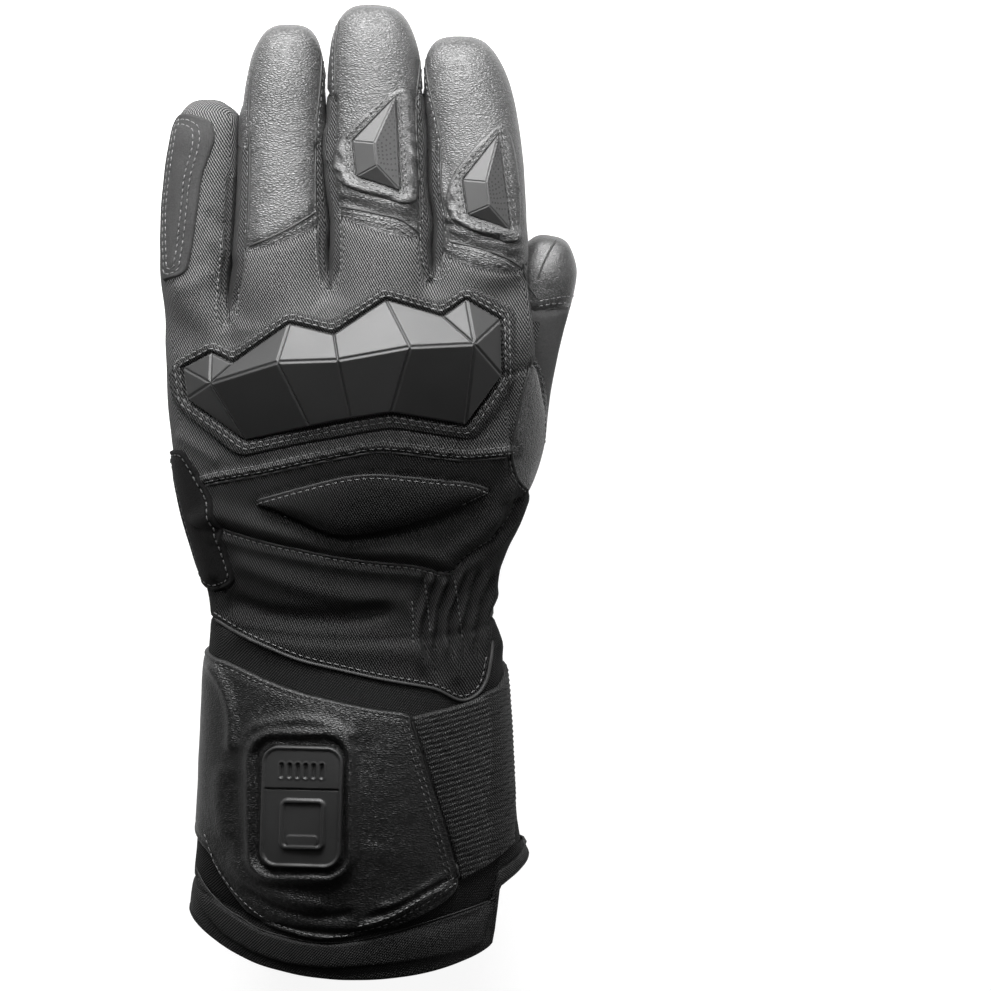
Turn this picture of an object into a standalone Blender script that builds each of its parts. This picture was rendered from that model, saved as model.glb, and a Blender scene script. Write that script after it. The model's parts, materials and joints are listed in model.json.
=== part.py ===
"""A left motorcycle gauntlet glove with battery heating, lying palm down.

Metres, +Z up. Fingers point to +Y, the thumb is on the +X side, the cuff's mouth is at -Y, and the glove rests on
z = 0. The origin is below the middle of the glove's box. The padded wall of the glove is one cage of faces: a hand and
cuff of closed sections, four fingers and a thumb that grow out of it. Each sewn piece is a part of that cage given its
wall thickness, or a layer cut to its outline and lying on the wall.
"""
import math
from collections import namedtuple

import bmesh
import bpy
import numpy as np
from mathutils import Vector
from mathutils.bvhtree import BVHTree

# ------------------------------------------------------------------ sizes, mm
WALL = 3.4           # padded wall: shell, membrane, insulation and lining
HEM_WALL = 4.4       # bound hem
STRIP_WALL = 2.0     # strips between the fingers
WEB_GAPS = {"strip_little_ring": 2.9, "palm": 0.24, "strip_ring_middle": 0.8, "strip_middle_index": 0.8, "thumb_pad": 0.7}   # its side of its seams
WEB_SHARE = 0.4      # of its thickness that the wall keeps in the webs
SEAM_GAP = 0.18      # each side of a seam
SKIN = 0.42          # clearance of a layer above the wall it lies on
LEATHER = 1.3        # thickness of a leather or suede layer
GUARD_ROOT = 4.5     # depth below the glove's surface that a guard is first made to
ORIGIN = (6.962, 10.723)   # x, y of the box centre before the shift

# The plan drawing: u runs to the thumb side and v to the hem, in units of
# 0.34 mm. It is drawn as seen by an eye DISTANCE above its middle point, on a
# line that leans LEAN degrees to the fingertips, so heights shift v a little.
UNIT = 0.34
MIDDLE = 495.5
AXIS_U = 352.0
LEAN = math.radians(16.0)
DISTANCE = 1500.0


def table(columns, rows):
    """The rows as tuples with the columns' names."""
    row = namedtuple("Row", columns)
    return [row(*r) for r in rows]


# Sections of the hand and cuff, knuckles to hem. ul and ur are the plan
# widths, side_l and side_r the heights of the two silhouette edges, top_* the
# back's height near the little finger, in the middle and near the thumb, bot_*
# the palm's, valley the dip between the knuckles, follow the share that the
# section bends with the finger roots, power its roundness.
SECTIONS = table("v ul ur side_l side_r top_l top_m top_r bot_l bot_m bot_r valley follow power", [
    (292, 161, 532, 23, 34, 39.0, 46.5, 45.5, 6, 13, 20, 0.0, 1.00, 2.5),
    (332, 160, 541, 23, 38, 43.0, 52.0, 51.0, 6, 13, 23, 4.5, 0.62, 2.6),
    (364, 162, 540, 23, 34, 44.5, 53.5, 52.0, 6, 12, 20, 1.6, 0.36, 2.7),
    (396, 163, 546, 23, 25, 44.5, 53.0, 51.0, 5, 10, 13, 0.4, 0.18, 2.7),
    (428, 166, 548, 22, 20, 44.0, 51.5, 49.5, 4.6, 8, 8, 0.0, 0.06, 2.7),
    (460, 171, 543, 21, 19, 43.5, 50.0, 47.5, 4.4, 6, 4, 0.0, 0.0, 2.6),
    (492, 174, 533, 21, 20, 43.0, 49.0, 46.0, 4.4, 4.4, 3.0, 0.0, 0.0, 2.6),
    (524, 181, 521, 21, 22, 42.5, 48.5, 45.0, 4.0, 3.6, 2.6, 0.0, 0.0, 2.5),
    (556, 193, 507, 22, 25, 42.5, 48.0, 45.0, 3.0, 3.0, 2.2, 0.0, 0.0, 2.5),
    (588, 205, 495, 23, 25, 43.0, 48.0, 45.5, 2.4, 2.4, 2.1, 0.0, 0.0, 2.5),
    (618, 209, 496, 24, 26, 44.0, 49.5, 47.0, 2.1, 2.1, 2.1, 0.0, 0.0, 2.5),
    (652, 206, 504, 26, 27, 47.0, 53.0, 50.0, 2.1, 2.1, 2.1, 0.0, 0.0, 2.4),
    (690, 202.5, 508, 28, 28, 50.0, 57.0, 53.0, 2.1, 2.1, 2.1, 0.0, 0.0, 2.4),
    (728, 200.5, 509.5, 29, 29, 53.0, 60.0, 55.5, 2.1, 2.1, 2.1, 0.0, 0.0, 2.4),
    (766, 199, 513, 30, 30, 55.0, 62.5, 57.5, 2.1, 2.1, 2.1, 0.0, 0.0, 2.4),
    (804, 198, 516.5, 31, 29, 57.0, 64.5, 59.5, 2.1, 2.1, 2.1, 0.0, 0.0, 2.4),
    (842, 194.5, 521.5, 32, 27, 58.5, 66.0, 61.0, 2.1, 2.1, 2.1, 0.0, 0.0, 2.4),
    (872, 190, 528, 33, 24, 59.5, 67.0, 62.0, 2.1, 2.1, 2.1, 0.0, 0.0, 2.4),
    (900, 186.5, 531, 33, 22, 60.0, 67.5, 62.5, 2.1, 2.1, 2.1, 0.0, 0.0, 2.4),
])
WRIST_ROW, HEM_ROW = 10, 17      # first rows of the cuff and of the hem band
PALM_SEAMS = {1: 0.78, 2: 0.74, 3: 0.70, 4: 0.68, 5: 0.70, 6: 0.74, 7: 0.78}
SEAM = 0.80                      # seams' place between middle and silhouette

# The hem's cut: how much longer than at the little finger side, in mm, across
# the cuff from that side to the thumb side, and the last rows' share of it.
HEM_CUT = table("across longer", [
    (-1.0, 0.5), (-0.85, 6.5), (-0.6, 10.8), (-0.3, 12.4), (-0.1, 12.6), (0.15, 12.3),
    (0.45, 11.2), (0.7, 9.0), (0.85, 4.5), (1.0, -4.5)])
HEM_SHARE = {3: 0.18, 2: 0.55, 1: 1.0}

# The lines between the fingers: where they meet the back and the palm.
ROOTS = table("u v_back z_back v_palm z_palm", [
    (161.0, 322, 0, 284, 0), (227.5, 318, 31, 276, 14), (330.5, 287, 36, 250, 17),
    (433.0, 279, 37, 251, 20), (532.0, 270, 0, 256, 0)])

# Finger sections, root to tip: plan centre and half width, centre height and
# half heights above and below it, mm. slant leans a section across the finger:
# its thumb side edge is that much nearer the hem on the plan.
FINGERS = {
    "little": table("v u half z up down slant", [
        (279, 194.0, 33.4, 21.4, 13.0, 13.2, 0), (246, 195.8, 35.0, 19.6, 12.8, 13.5, 0),
        (210, 198.3, 35.2, 17.0, 12.6, 13.5, 0), (172, 200.8, 34.8, 14.6, 12.4, 14.0, 0),
        (142, 203.6, 33.2, 12.8, 12.0, 14.0, 0), (120, 206.8, 28.4, 11.8, 10.4, 12.5, 0)]),
    "ring": table("v u half z up down slant", [
        (262, 281.5, 46.5, 27.6, 14.6, 14.0, -5), (228, 283.2, 45.6, 25.1, 14.6, 14.0, -17),
        (182, 283.0, 43.3, 21.2, 14.3, 14.0, -6), (142, 283.4, 40.8, 17.8, 14.0, 14.5, 0),
        (102, 284.0, 40.2, 15.0, 13.6, 16.0, 0), (68, 286.5, 37.4, 13.6, 12.8, 15.5, 0),
        (44, 288.5, 31.0, 12.8, 10.8, 13.0, 0)]),
    "middle": table("v u half z up down slant", [
        (254, 382.5, 48.6, 30.5, 15.6, 15.0, 8), (216, 381.8, 48.2, 27.4, 15.4, 15.0, 16),
        (174, 378.4, 48.0, 23.6, 15.0, 14.5, 5), (134, 376.4, 47.8, 20.0, 14.8, 14.5, 0),
        (92, 375.0, 46.4, 16.6, 14.4, 16.0, 0), (54, 374.2, 44.6, 14.6, 13.6, 16.0, 0),
        (26, 373.2, 37.0, 13.4, 11.2, 13.5, 0)]),
    "index": table("v u half z up down slant", [
        (250, 481.8, 46.8, 30.0, 15.0, 14.0, 14), (214, 480.0, 45.4, 26.8, 14.8, 14.0, 8),
        (180, 477.5, 45.6, 23.6, 14.6, 14.0, 3), (146, 474.8, 45.4, 20.4, 14.4, 14.0, 0),
        (112, 471.2, 44.2, 17.2, 14.0, 15.4, 0), (80, 466.2, 41.6, 14.8, 13.2, 13.0, 0),
        (56, 461.6, 35.4, 13.4, 11.2, 11.4, 0)]),
}
FINGER_POWER = 2.35
# The thumb's are turned by some degrees to the thumb side, half widths in mm;
# twist is how far its lengthwise lines have run round it, in degrees.
THUMB = table("u v turn twist half z up down", [
    (516, 390, 42, -58, 14.4, 12.6, 9.6, 12.6), (521, 348, 24, -26, 13.0, 13.0, 10.2, 13.2),
    (529, 310, 17, -6, 12.8, 13.4, 10.8, 13.6), (538, 286, 14, 0, 12.2, 13.2, 10.8, 13.4),
    (545, 265, 12, 0, 11.2, 12.6, 10.4, 12.6), (548.5, 252, 10, 0, 8.4, 12.2, 8.8, 10.5)])
THUMB_ROW, THUMB_COLUMN = 2, 18   # first of the 4 by 4 faces it grows from
TIPS = table("finger u v z", [("little", 207, 100, 11.0), ("ring", 289, 25, 12.0), ("middle", 372, 5, 12.5),
                              ("index", 458, 37, 12.0), ("thumb", 552, 237, 12.0)])
ACROSS = 4            # faces across a finger's back, along its side, and so on
ROUND = 10 * ACROSS   # faces round the hand and cuff

# Leather starts at this row of faces on the back of a finger, and the strips
# between the fingers end before this one.
LEATHER_FROM = {"little": 9, "ring": 2, "middle": 2, "index": 1}
STRIP_TO = {"little": 4, "ring": 4, "middle": 5, "index": 4}
THUMB_CAP_FROM = 3

# ------------------------------------------------- outlines on the plan drawing
LITTLE_PATCH = [(184, 119), (200, 116), (212, 121), (215, 135), (212, 150), (203, 175), (199, 200), (195, 230),
                (191, 255), (186, 270), (176, 277), (166, 277), (165, 250), (168, 200), (171, 160), (176, 132)]
GUARD_RIM = [(184, 368), (212, 353), (233, 364), (290, 324), (334, 335), (386, 300), (443, 317), (466, 300),
             (500, 320), (501, 375), (465, 424), (391, 412), (351, 418), (310, 426), (246, 440), (188, 398)]
# The guard's peaks, little finger side first, and their height over the hand.
GUARD_PEAKS = table("u v high", [(212, 383, 7.4), (278, 362, 9.4), (338, 360, 9.6), (410, 347, 10.4), (474, 344, 9.6)])
# Its facets: rim points by number, then the peaks.
GUARD_FACETS = [(0, 1, 16), (2, 3, 17, 16, 1), (3, 4, 18, 17), (4, 5, 19, 18), (6, 7, 20, 19, 5), (7, 8, 20), (8, 9, 20),
                (9, 10, 20), (10, 11, 19, 20), (11, 12, 18, 19), (12, 13, 17, 18), (13, 14, 16, 17), (14, 15, 16),
                (15, 0, 16)]
FRAME_RIM = [(168, 366), (206, 339), (230, 348), (287, 308), (330, 318), (384, 284), (440, 301), (466, 283),
             (516, 308), (518, 382), (474, 441), (432, 434), (391, 428), (312, 443), (240, 458), (174, 405)]
FINGER_GUARDS = {"middle": [(395, 97), (353, 141), (357, 176), (400, 190), (379, 153)],
                 "index": [(498, 135), (463, 180), (468, 214), (510, 229), (489, 190)]}   # rim, then peak
FINGER_FACETS = [(0, 1, 4), (1, 2, 4), (2, 3, 4), (3, 0, 4)]
LENS = [(258, 500), (300, 488), (340, 478), (370, 475), (400, 477), (440, 481), (470, 484), (487, 490), (460, 505),
        (430, 517), (400, 526), (360, 535), (330, 533), (300, 521), (275, 510)]
SIDE_PATCH = [(174, 449), (190, 460), (200, 475), (208, 490), (213, 510), (225, 545), (234, 575), (230, 584),
              (212, 588), (190, 588), (165, 540), (150, 480), (152, 449)]
PANEL = [(213, 655), (240, 667), (270, 681), (300, 692), (340, 702), (380, 710), (407, 714), (418, 745), (430, 785),
         (441, 820), (451, 855), (456, 884), (440, 904), (400, 921), (370, 930), (340, 935), (300, 932), (262, 916),
         (240, 896), (222, 866), (205, 845), (185, 830), (185, 660)]
HOUSING = (301.5, 805.0, 39.0, 61.0, 16.0)     # plan middle, half sizes, corner
BUTTON = (302.5, 822.0, 20.0, 23.0, 6.0)
SLOTS = table("u v", [(282, 769), (289.5, 769), (297, 769), (304.5, 769), (312, 769), (319.5, 769)])
STRAP = [(411, 717), (430, 712), (450, 707), (470, 700), (500, 683), (560, 668), (560, 832), (516, 840), (505, 850),
         (490, 862), (475, 871), (460, 880), (454, 855), (444, 820), (433, 785), (421, 745)]
# Pieces under the glove, drawn as seen through it with the palm up: the height
# of the drawing above the lying palm, mm, and the outline.
UNDERSIDE = {
    "strap_tab": (60, [(462, 708), (505, 700), (505, 838), (487, 868), (468, 852), (446, 824), (444, 780), (449, 728)]),
    "loop_patch": (60, [(340, 706), (436, 704), (436, 822), (462, 860), (452, 878), (359, 876), (349, 812), (340, 748)]),
    "wrist_tab": (50, [(332, 624), (408, 624), (415, 690), (337, 691)]),
    "hem_tab": (64, [(362, 884), (458, 884), (470, 900), (462, 926), (447, 940), (420, 948), (392, 949), (375, 942),
                     (366, 924)]),
    "palm_patch": (46, [(226, 371), (250, 374), (283, 400), (322, 430), (343, 446), (341, 468), (335, 480), (327, 536),
                        (320, 569), (316, 578), (262, 577), (207, 572), (192, 530), (186, 480), (190, 420)]),
    "palm_slider": (46, [(200, 468), (218, 480), (234, 487), (261, 491), (273, 496), (274, 512), (264, 525), (251, 528),
                         (204, 525), (199, 495)]),
    "touch_patch": (24, [(428, 52), (440, 40), (482, 40), (492, 56), (499, 84), (503, 122), (424, 116), (424, 80)]),
}

FINISH = table("name red green blue rough metal", [
    ("twill", 0.020, 0.020, 0.022, 0.62, 0.0), ("leather", 0.016, 0.016, 0.017, 0.42, 0.0),
    ("palm_leather", 0.018, 0.018, 0.019, 0.55, 0.0), ("suede", 0.045, 0.045, 0.048, 0.85, 0.0),
    ("softshell", 0.012, 0.012, 0.013, 0.75, 0.0), ("moulded_guard", 0.035, 0.036, 0.039, 0.38, 0.0),
    ("rubber", 0.018, 0.018, 0.019, 0.48, 0.0), ("webbing", 0.016, 0.016, 0.017, 0.70, 0.0),
    ("loop_fabric", 0.010, 0.010, 0.011, 0.95, 0.0)])


# --------------------------------------------------------------- plan to space
def eye():
    """The drawing's eye point and its right, up and backward axes."""
    back = np.array([0.0, math.sin(LEAN), math.cos(LEAN)])
    up = np.array([0.0, math.cos(LEAN), -math.sin(LEAN)])
    middle = np.array([(MIDDLE - AXIS_U) * UNIT, 0.0, 0.0])
    return middle + back * DISTANCE, np.stack([[1.0, 0.0, 0.0], up, back], 1)


def spot(u, v, z):
    """The point at height z that plan point (u, v) shows, mm."""
    point, axes = eye()
    ray = axes @ np.array([u - MIDDLE, MIDDLE - v, -DISTANCE / UNIT])
    return point + ray * (z - point[2]) / ray[2]


def through(s, a, b, c):
    """The parabola through a, b and c at s = -0.6, 0 and 0.6."""
    return b + (c - a) / 1.2 * s + ((a + c) / 2 - b) / 0.36 * s * s


# ---------------------------------------------------------------- the cage
class Outline:
    """One closed section of the hand or cuff, cut square to the glove."""

    def __init__(self, row, n=361):
        self.row = row
        self.xl, self.xr = spot(row.ul, row.v, row.side_l)[0], spot(row.ur, row.v, row.side_r)[0]
        fan = np.linspace(0, math.pi, n)
        s = -np.sign(np.cos(fan)) * np.abs(np.cos(fan)) ** (2 / row.power)
        h = np.sin(fan).clip(0) ** (2 / row.power)
        edge = row.side_l + (row.side_r - row.side_l) * (s + 1) / 2
        self.s = s
        self.x = self.xl + (self.xr - self.xl) * (s + 1) / 2
        self.top = edge + (through(s, row.top_l, row.top_m, row.top_r) - edge) * h
        self.bottom = edge + (through(s, row.bot_l, row.bot_m, row.bot_r) - edge) * h

    def side(self, right, s_top, s_bottom):
        """Points from the back's seam round one silhouette edge to the palm's seam."""
        sign = 1 if right else -1
        t, b = self.s * sign >= s_top, self.s * sign >= s_bottom
        top = np.stack([self.x[t], self.top[t]], 1)
        low = np.stack([self.x[b], self.bottom[b]], 1)
        run = np.concatenate([top, low[::-1]]) if right else np.concatenate([top[::-1], low])
        along = np.concatenate([[0], np.cumsum(np.linalg.norm(np.diff(run, axis=0), axis=1))])
        at = np.linspace(0, along[-1], ACROSS + 1)
        return np.stack([np.interp(at, along, run[:, k]) for k in range(2)], 1)

    def lines(self, seam_l, seam_r, mix):
        """The x of the five lines that bound the fingers, evened out by mix."""
        w = self.xr - self.xl
        a, b = self.xl + w * (1 - seam_l) / 2, self.xr - w * (1 - seam_r) / 2
        own = np.array([a, *[spot(r.u, self.row.v, 35)[0] for r in ROOTS[1:4]], b])
        return own * (1 - mix) + np.linspace(a, b, 5) * mix


def build_cage():
    """Vertices (mm), faces of four, and each face's (region, row, column)."""
    verts, faces, tags = [], [], []

    def add(p):
        verts.append(np.array(p, float))
        return len(verts) - 1

    knots = np.arange(0, 4 * ACROSS + 1, ACROSS)
    steps = np.arange(4 * ACROSS + 1)
    back_v = np.interp(steps, knots, [r.v_back for r in ROOTS])
    palm_v = np.interp(steps, knots, [r.v_palm for r in ROOTS])
    bulge = np.array([0, 5, 8, 5] * 4 + [0.0])     # finger roots reach forward
    last = len(SECTIONS)
    ids = []
    for r, row in enumerate(SECTIONS):
        sec, mix, palm_seam = Outline(row), min(1.0, r / 7.0), PALM_SEAMS.get(r, SEAM)
        top_x, low_x = sec.lines(SEAM, SEAM, mix), sec.lines(SEAM, palm_seam, mix)
        points = []
        for i in range(4 * ACROSS):
            x = np.interp(i, knots, top_x)
            points.append([x, np.interp(x, sec.x, sec.top), "back", i, back_v[i]])
        for i, (x, z) in enumerate(sec.side(True, SEAM, palm_seam)[:-1]):
            points.append([x, z, "right", i, back_v[-1] + (palm_v[-1] - back_v[-1]) * i / ACROSS])
        for i in range(4 * ACROSS, 0, -1):
            x = np.interp(i, knots, low_x)
            points.append([x, np.interp(x, sec.x, sec.bottom), "palm", i, palm_v[i]])
        for i, (x, z) in enumerate(sec.side(False, SEAM, SEAM)[::-1][:-1]):
            points.append([x, z, "left", i, palm_v[0] + (back_v[0] - palm_v[0]) * i / ACROSS])
        mid = (back_v.mean() + palm_v.mean()) / 2
        line = []
        for x, z, kind, i, v in points:
            at = row.v + row.follow * (v - mid)
            if r == 0 and kind in ("back", "palm"):
                at -= bulge[i]
            y = spot(AXIS_U, at, (row.side_l + row.side_r) / 2)[1]
            if kind == "back" and r > 0 and i in knots[1:4]:
                z -= row.valley
            elif kind == "back" and r > 0 and i % ACROSS in (1, ACROSS - 1):
                z -= row.valley * 0.35
            if r == 0 and kind in ("back", "palm") and i in knots[1:4]:
                root = ROOTS[i // ACROSS]
                x = spot(root.u, root.v_back, root.z_back)[0]
                if kind == "back":
                    y, z = spot(root.u, root.v_back, root.z_back)[1], root.z_back
                else:
                    y, z = spot(root.u, root.v_palm, 40 - root.z_palm)[1], root.z_palm
            share = HEM_SHARE.get(last - r, 0.0)
            if share:
                across = (2 * x - sec.xl - sec.xr) / (sec.xr - sec.xl)
                y -= share * np.interp(across, *zip(*HEM_CUT))
            line.append(add([x, y, max(z, 0.0)]))
        ids.append(line)
    for r in range(last - 1):
        for j in range(ROUND):
            if 0 <= r - THUMB_ROW < ACROSS and 0 <= j - THUMB_COLUMN < ACROSS:
                continue
            k = (j + 1) % ROUND
            faces.append((ids[r][j], ids[r][k], ids[r + 1][k], ids[r + 1][j]))
            tags.append(("body", r, j))

    # the webs between the fingers, shared by both neighbours
    webs = []
    for k in (1, 2, 3):
        top, low = ids[0][ACROSS * k], ids[0][9 * ACROSS - ACROSS * k]
        p, q = verts[top], verts[low]
        inner = [add(p + (q - p) * i / ACROSS + [0, 1.5 * math.sin(math.pi * i / ACROSS), 0]) for i in range(1, ACROSS)]
        webs.append([top, *inner, low])

    seam = math.radians(35)
    angles = np.concatenate([np.linspace(math.pi - seam, seam, ACROSS + 1)[:-1], np.linspace(seam, -seam, ACROSS + 1)[:-1],
                             np.linspace(-seam, seam - math.pi, ACROSS + 1)[:-1],
                             np.linspace(seam - math.pi, -math.pi - seam, ACROSS + 1)[:-1]])
    cos, sin = np.cos(angles), np.sin(angles)
    wide, tall = (np.sign(a) * np.abs(a) ** (2 / FINGER_POWER) for a in (cos, sin))

    def tube(name, ring, rings, tip):
        """Rings joined to the first one, and a domed 4 by 4 patch over the last."""
        n = len(angles)
        for k, points in enumerate(rings):
            now = [add(p) for p in points]
            for j in range(n):
                faces.append((ring[j], now[j], now[(j + 1) % n], ring[(j + 1) % n]))
                tags.append((name, k, j))
            ring = now
        centre = np.mean([verts[i] for i in ring], 0)
        reach = tip - centre
        grid = np.empty((ACROSS + 1, ACROSS + 1), int)
        for i in range(ACROSS + 1):
            grid[0, i], grid[ACROSS, i] = ring[i], ring[3 * ACROSS - i]
            grid[i, ACROSS], grid[i, 0] = ring[ACROSS + i], ring[(n - i) % n]
        for i in range(1, ACROSS):
            for j in range(1, ACROSS):
                s, t = j / ACROSS, i / ACROSS
                p = ((1 - t) * verts[grid[0, j]] + t * verts[grid[ACROSS, j]]
                     + (1 - s) * verts[grid[i, 0]] + s * verts[grid[i, ACROSS]]
                     - (1 - s) * (1 - t) * verts[grid[0, 0]] - s * (1 - t) * verts[grid[0, ACROSS]]
                     - (1 - s) * t * verts[grid[ACROSS, 0]] - s * t * verts[grid[ACROSS, ACROSS]])
                rho = min(1.0, math.hypot(2 * s - 1, 2 * t - 1) / 1.19)
                spread, lift = (1.12, 1.04) if rho > 0.1 else (1.0, 1.0)
                p = centre + (p - centre) * (spread if rho > 0.5 else 1.0) + reach * math.sqrt(1 - rho * rho) * lift
                grid[i, j] = add([p[0], p[1], max(p[2], 0.0)])
        for i in range(ACROSS):
            for j in range(ACROSS):
                faces.append((grid[i, j], grid[i + 1, j], grid[i + 1, j + 1], grid[i, j + 1]))
                tags.append((name, 100 + i, j))

    tips = {t.finger: spot(t.u, t.v, t.z) for t in TIPS}
    for f, (name, rows) in enumerate(FINGERS.items()):
        right = webs[f][:ACROSS] if f < 3 else [ids[0][4 * ACROSS + i] for i in range(ACROSS)]
        left = ([ids[0][(9 * ACROSS + i) % ROUND] for i in range(ACROSS)] if f == 0
                else [webs[f - 1][ACROSS - i] for i in range(ACROSS)])
        first = ([ids[0][ACROSS * f + i] for i in range(ACROSS)] + right
                 + [ids[0][5 * ACROSS + ACROSS * (3 - f) + i] for i in range(ACROSS)] + left)
        rings = []
        for k, row in enumerate(rows):
            centre = spot(row.u, row.v, row.z)
            slope = {0: 4.2, 1: 2.2, 2: 0.8}.get(k, 0.0)
            lean = row.slant * wide
            rings.append(np.stack([centre[0] + row.half * UNIT * wide, centre[1] - slope * sin - lean * UNIT,
                                   (row.z + 0.08 * lean + np.where(sin > 0, row.up, row.down) * tall).clip(0)], 1))
        tube(name, first, rings, tips[name])
    r0, c0 = THUMB_ROW, THUMB_COLUMN
    first = ([ids[r0 + i][c0] for i in range(ACROSS)] + [ids[r0 + ACROSS][c0 + i] for i in range(ACROSS)]
             + [ids[r0 + ACROSS - i][c0 + ACROSS] for i in range(ACROSS)] + [ids[r0][c0 + ACROSS - i] for i in range(ACROSS)])
    rings = []
    for row in THUMB:
        turn, centre = math.radians(row.turn), spot(row.u, row.v, row.z)
        cos, sin = np.cos(angles + math.radians(row.twist)), np.sin(angles + math.radians(row.twist))
        wide, tall = (np.sign(a) * np.abs(a) ** (2 / FINGER_POWER) for a in (cos, sin))
        w, h = row.half * wide, np.where(sin > 0, row.up, row.down) * tall
        rings.append(np.stack([centre[0] + w * math.cos(turn), centre[1] - w * math.sin(turn), (row.z + h).clip(0)], 1))
    tube("thumb", first, rings, tips["thumb"])
    return np.array(verts) - [*ORIGIN, 0.0], [tuple(reversed(f)) for f in faces], tags


VERTS, FACES, TAGS = build_cage()


def unit(a):
    return a / np.linalg.norm(a, axis=-1, keepdims=True).clip(1e-9)


def cage_normals():
    n = np.zeros_like(VERTS)
    for f in FACES:
        a, b, c, d = VERTS[list(f)]
        n[list(f)] += np.cross(c - a, d - b)
    return unit(n)


def cage_depths():
    """The share of its thickness that the wall keeps at each vertex: less in the webs."""
    owners = [set() for _ in VERTS]
    for f, tag in zip(FACES, TAGS):
        for v in f:
            owners[v].add(tag[0])
    return np.array([WEB_SHARE if len(o - {"body"}) > 1 or o == {"body", "thumb"} else 1.0 for o in owners])


NORMALS = cage_normals()
DEPTHS = cage_depths()


# ---------------------------------------------------------------- making pieces
def material(name):
    found = bpy.data.materials.get(name)
    if found:
        return found
    row = next(r for r in FINISH if r.name == name)
    made = bpy.data.materials.new(name)
    made.use_nodes = True
    shader = made.node_tree.nodes["Principled BSDF"]
    shader.inputs["Base Color"].default_value = (row.red, row.green, row.blue, 1.0)
    shader.inputs["Roughness"].default_value = row.rough
    shader.inputs["Metallic"].default_value = row.metal
    made.diffuse_color = (row.red, row.green, row.blue, 1.0)
    return made


def add_object(name, verts, polygons, finish=None):
    mesh = bpy.data.meshes.new(name)
    mesh.from_pydata([tuple(p / 1000.0) for p in np.array(verts)], [], polygons)
    bm = bmesh.new()
    bm.from_mesh(mesh)
    bmesh.ops.recalc_face_normals(bm, faces=bm.faces)
    bm.to_mesh(mesh)
    bm.free()
    obj = bpy.data.objects.new(name, mesh)
    bpy.context.scene.collection.objects.link(obj)
    if finish:
        mesh.materials.append(material(finish))
    return obj


def halves(face):
    """A face of four as two triangles, split on its shorter diagonal."""
    a, b, c, d = face
    if np.linalg.norm(VERTS[a] - VERTS[c]) <= np.linalg.norm(VERTS[b] - VERTS[d]):
        return [(a, b, c), (a, c, d)]
    return [(a, b, d), (b, c, d)]


def sheet(name, chosen, low, high, finish=None, gap=SEAM_GAP):
    """The chosen cage faces as a solid sheet from low to high along their normals.

    Its edges stay a seam gap away from where the neighbouring faces begin."""
    chosen = [FACES[i] for i in chosen]
    used = sorted({v for f in chosen for v in f})
    sides = {}
    for f in chosen:
        middle = VERTS[list(f)].mean(0)
        for a, b in zip(f, f[1:] + f[:1]):
            sides.setdefault(frozenset((a, b)), []).append((a, b, middle))
    rims = [s[0] for s in sides.values() if len(s) == 1]
    pushes = {}
    for a, b, middle in rims:
        along = unit(VERTS[b] - VERTS[a])
        into = np.cross(unit(NORMALS[a] + NORMALS[b]), along)
        into *= 1 if into @ (middle - VERTS[a]) > 0 else -1
        for v in (a, b):
            pushes.setdefault(v, []).append(into)
    shift = {v: gap * sum(p) / max(0.35, 1 + p[0] @ p[-1]) if len(p) > 1 else gap * p[0] for v, p in pushes.items()}
    base = [VERTS[v] + shift.get(v, 0.0) for v in used]
    place = {v: i for i, v in enumerate(used)}
    n = len(used)
    points = [p + NORMALS[v] * high for p, v in zip(base, used)] + [p + NORMALS[v] * low * (DEPTHS[v] if low < 0 else 1.0) for p, v in zip(base, used)]
    polygons = []
    for f in chosen:
        for tri in halves(f):
            polygons.append(tuple(place[v] for v in tri))
            polygons.append(tuple(place[v] + n for v in reversed(tri)))
    for a, b, _ in rims:
        a, b = place[a], place[b]
        polygons += [(b, a, a + n), (b, a + n, b + n)]
    return add_object(name, points, polygons, finish)


def prism(name, outline, z_low, z_high):
    """A cutter with a plan outline, from one height to another along the lines of sight."""
    n = len(outline)
    shift = np.array([*ORIGIN, 0.0])
    points = [spot(u, v, z_high) - shift for u, v in outline] + [spot(u, v, z_low) - shift for u, v in outline]
    polygons = [tuple(range(n)), tuple(range(2 * n - 1, n - 1, -1))]
    polygons += [(i, (i + 1) % n, (i + 1) % n + n, i + n) for i in range(n)]
    cutter = add_object(name, points, polygons)
    cutter.hide_render = True
    cutter.display_type = "WIRE"
    return cutter


def cut(obj, operation, cutter):
    modifier = obj.modifiers.new(cutter.name, "BOOLEAN")
    modifier.operation = operation
    modifier.object = cutter
    modifier.solver = "EXACT"


def pick(*rules):
    """Indices of the cage faces for which a rule on (region, row, column) holds."""
    return [i for i, tag in enumerate(TAGS) if any(rule(*tag) for rule in rules)]


def on_body(rows, columns):
    return lambda region, row, column: region == "body" and row in rows and column in columns


def layer(name, rules, outline, low, high, finish, heights=(20.0, 120.0)):
    """A layer over the picked faces, cut to a plan outline."""
    obj = sheet(name, pick(*rules), low, high, finish, gap=0.0)
    cut(obj, "INTERSECT", prism("cut_" + name, outline, *heights))
    return obj


def rounded(u, v, half_u, half_v, corner, steps=4):
    """A rounded rectangle's outline on the plan."""
    points = []
    for k, (su, sv) in enumerate([(1, 1), (-1, 1), (-1, -1), (1, -1)]):
        for i in range(steps + 1):
            a = math.pi / 2 * (k + i / steps)
            points.append((u + su * (half_u - corner) + corner * math.cos(a), v + sv * (half_v - corner) + corner * math.sin(a)))
    return points


def side_of(column):
    """Which of its four sides a finger's column of faces is on."""
    return ("back", "right", "palm", "left")[column // ACROSS]


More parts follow.
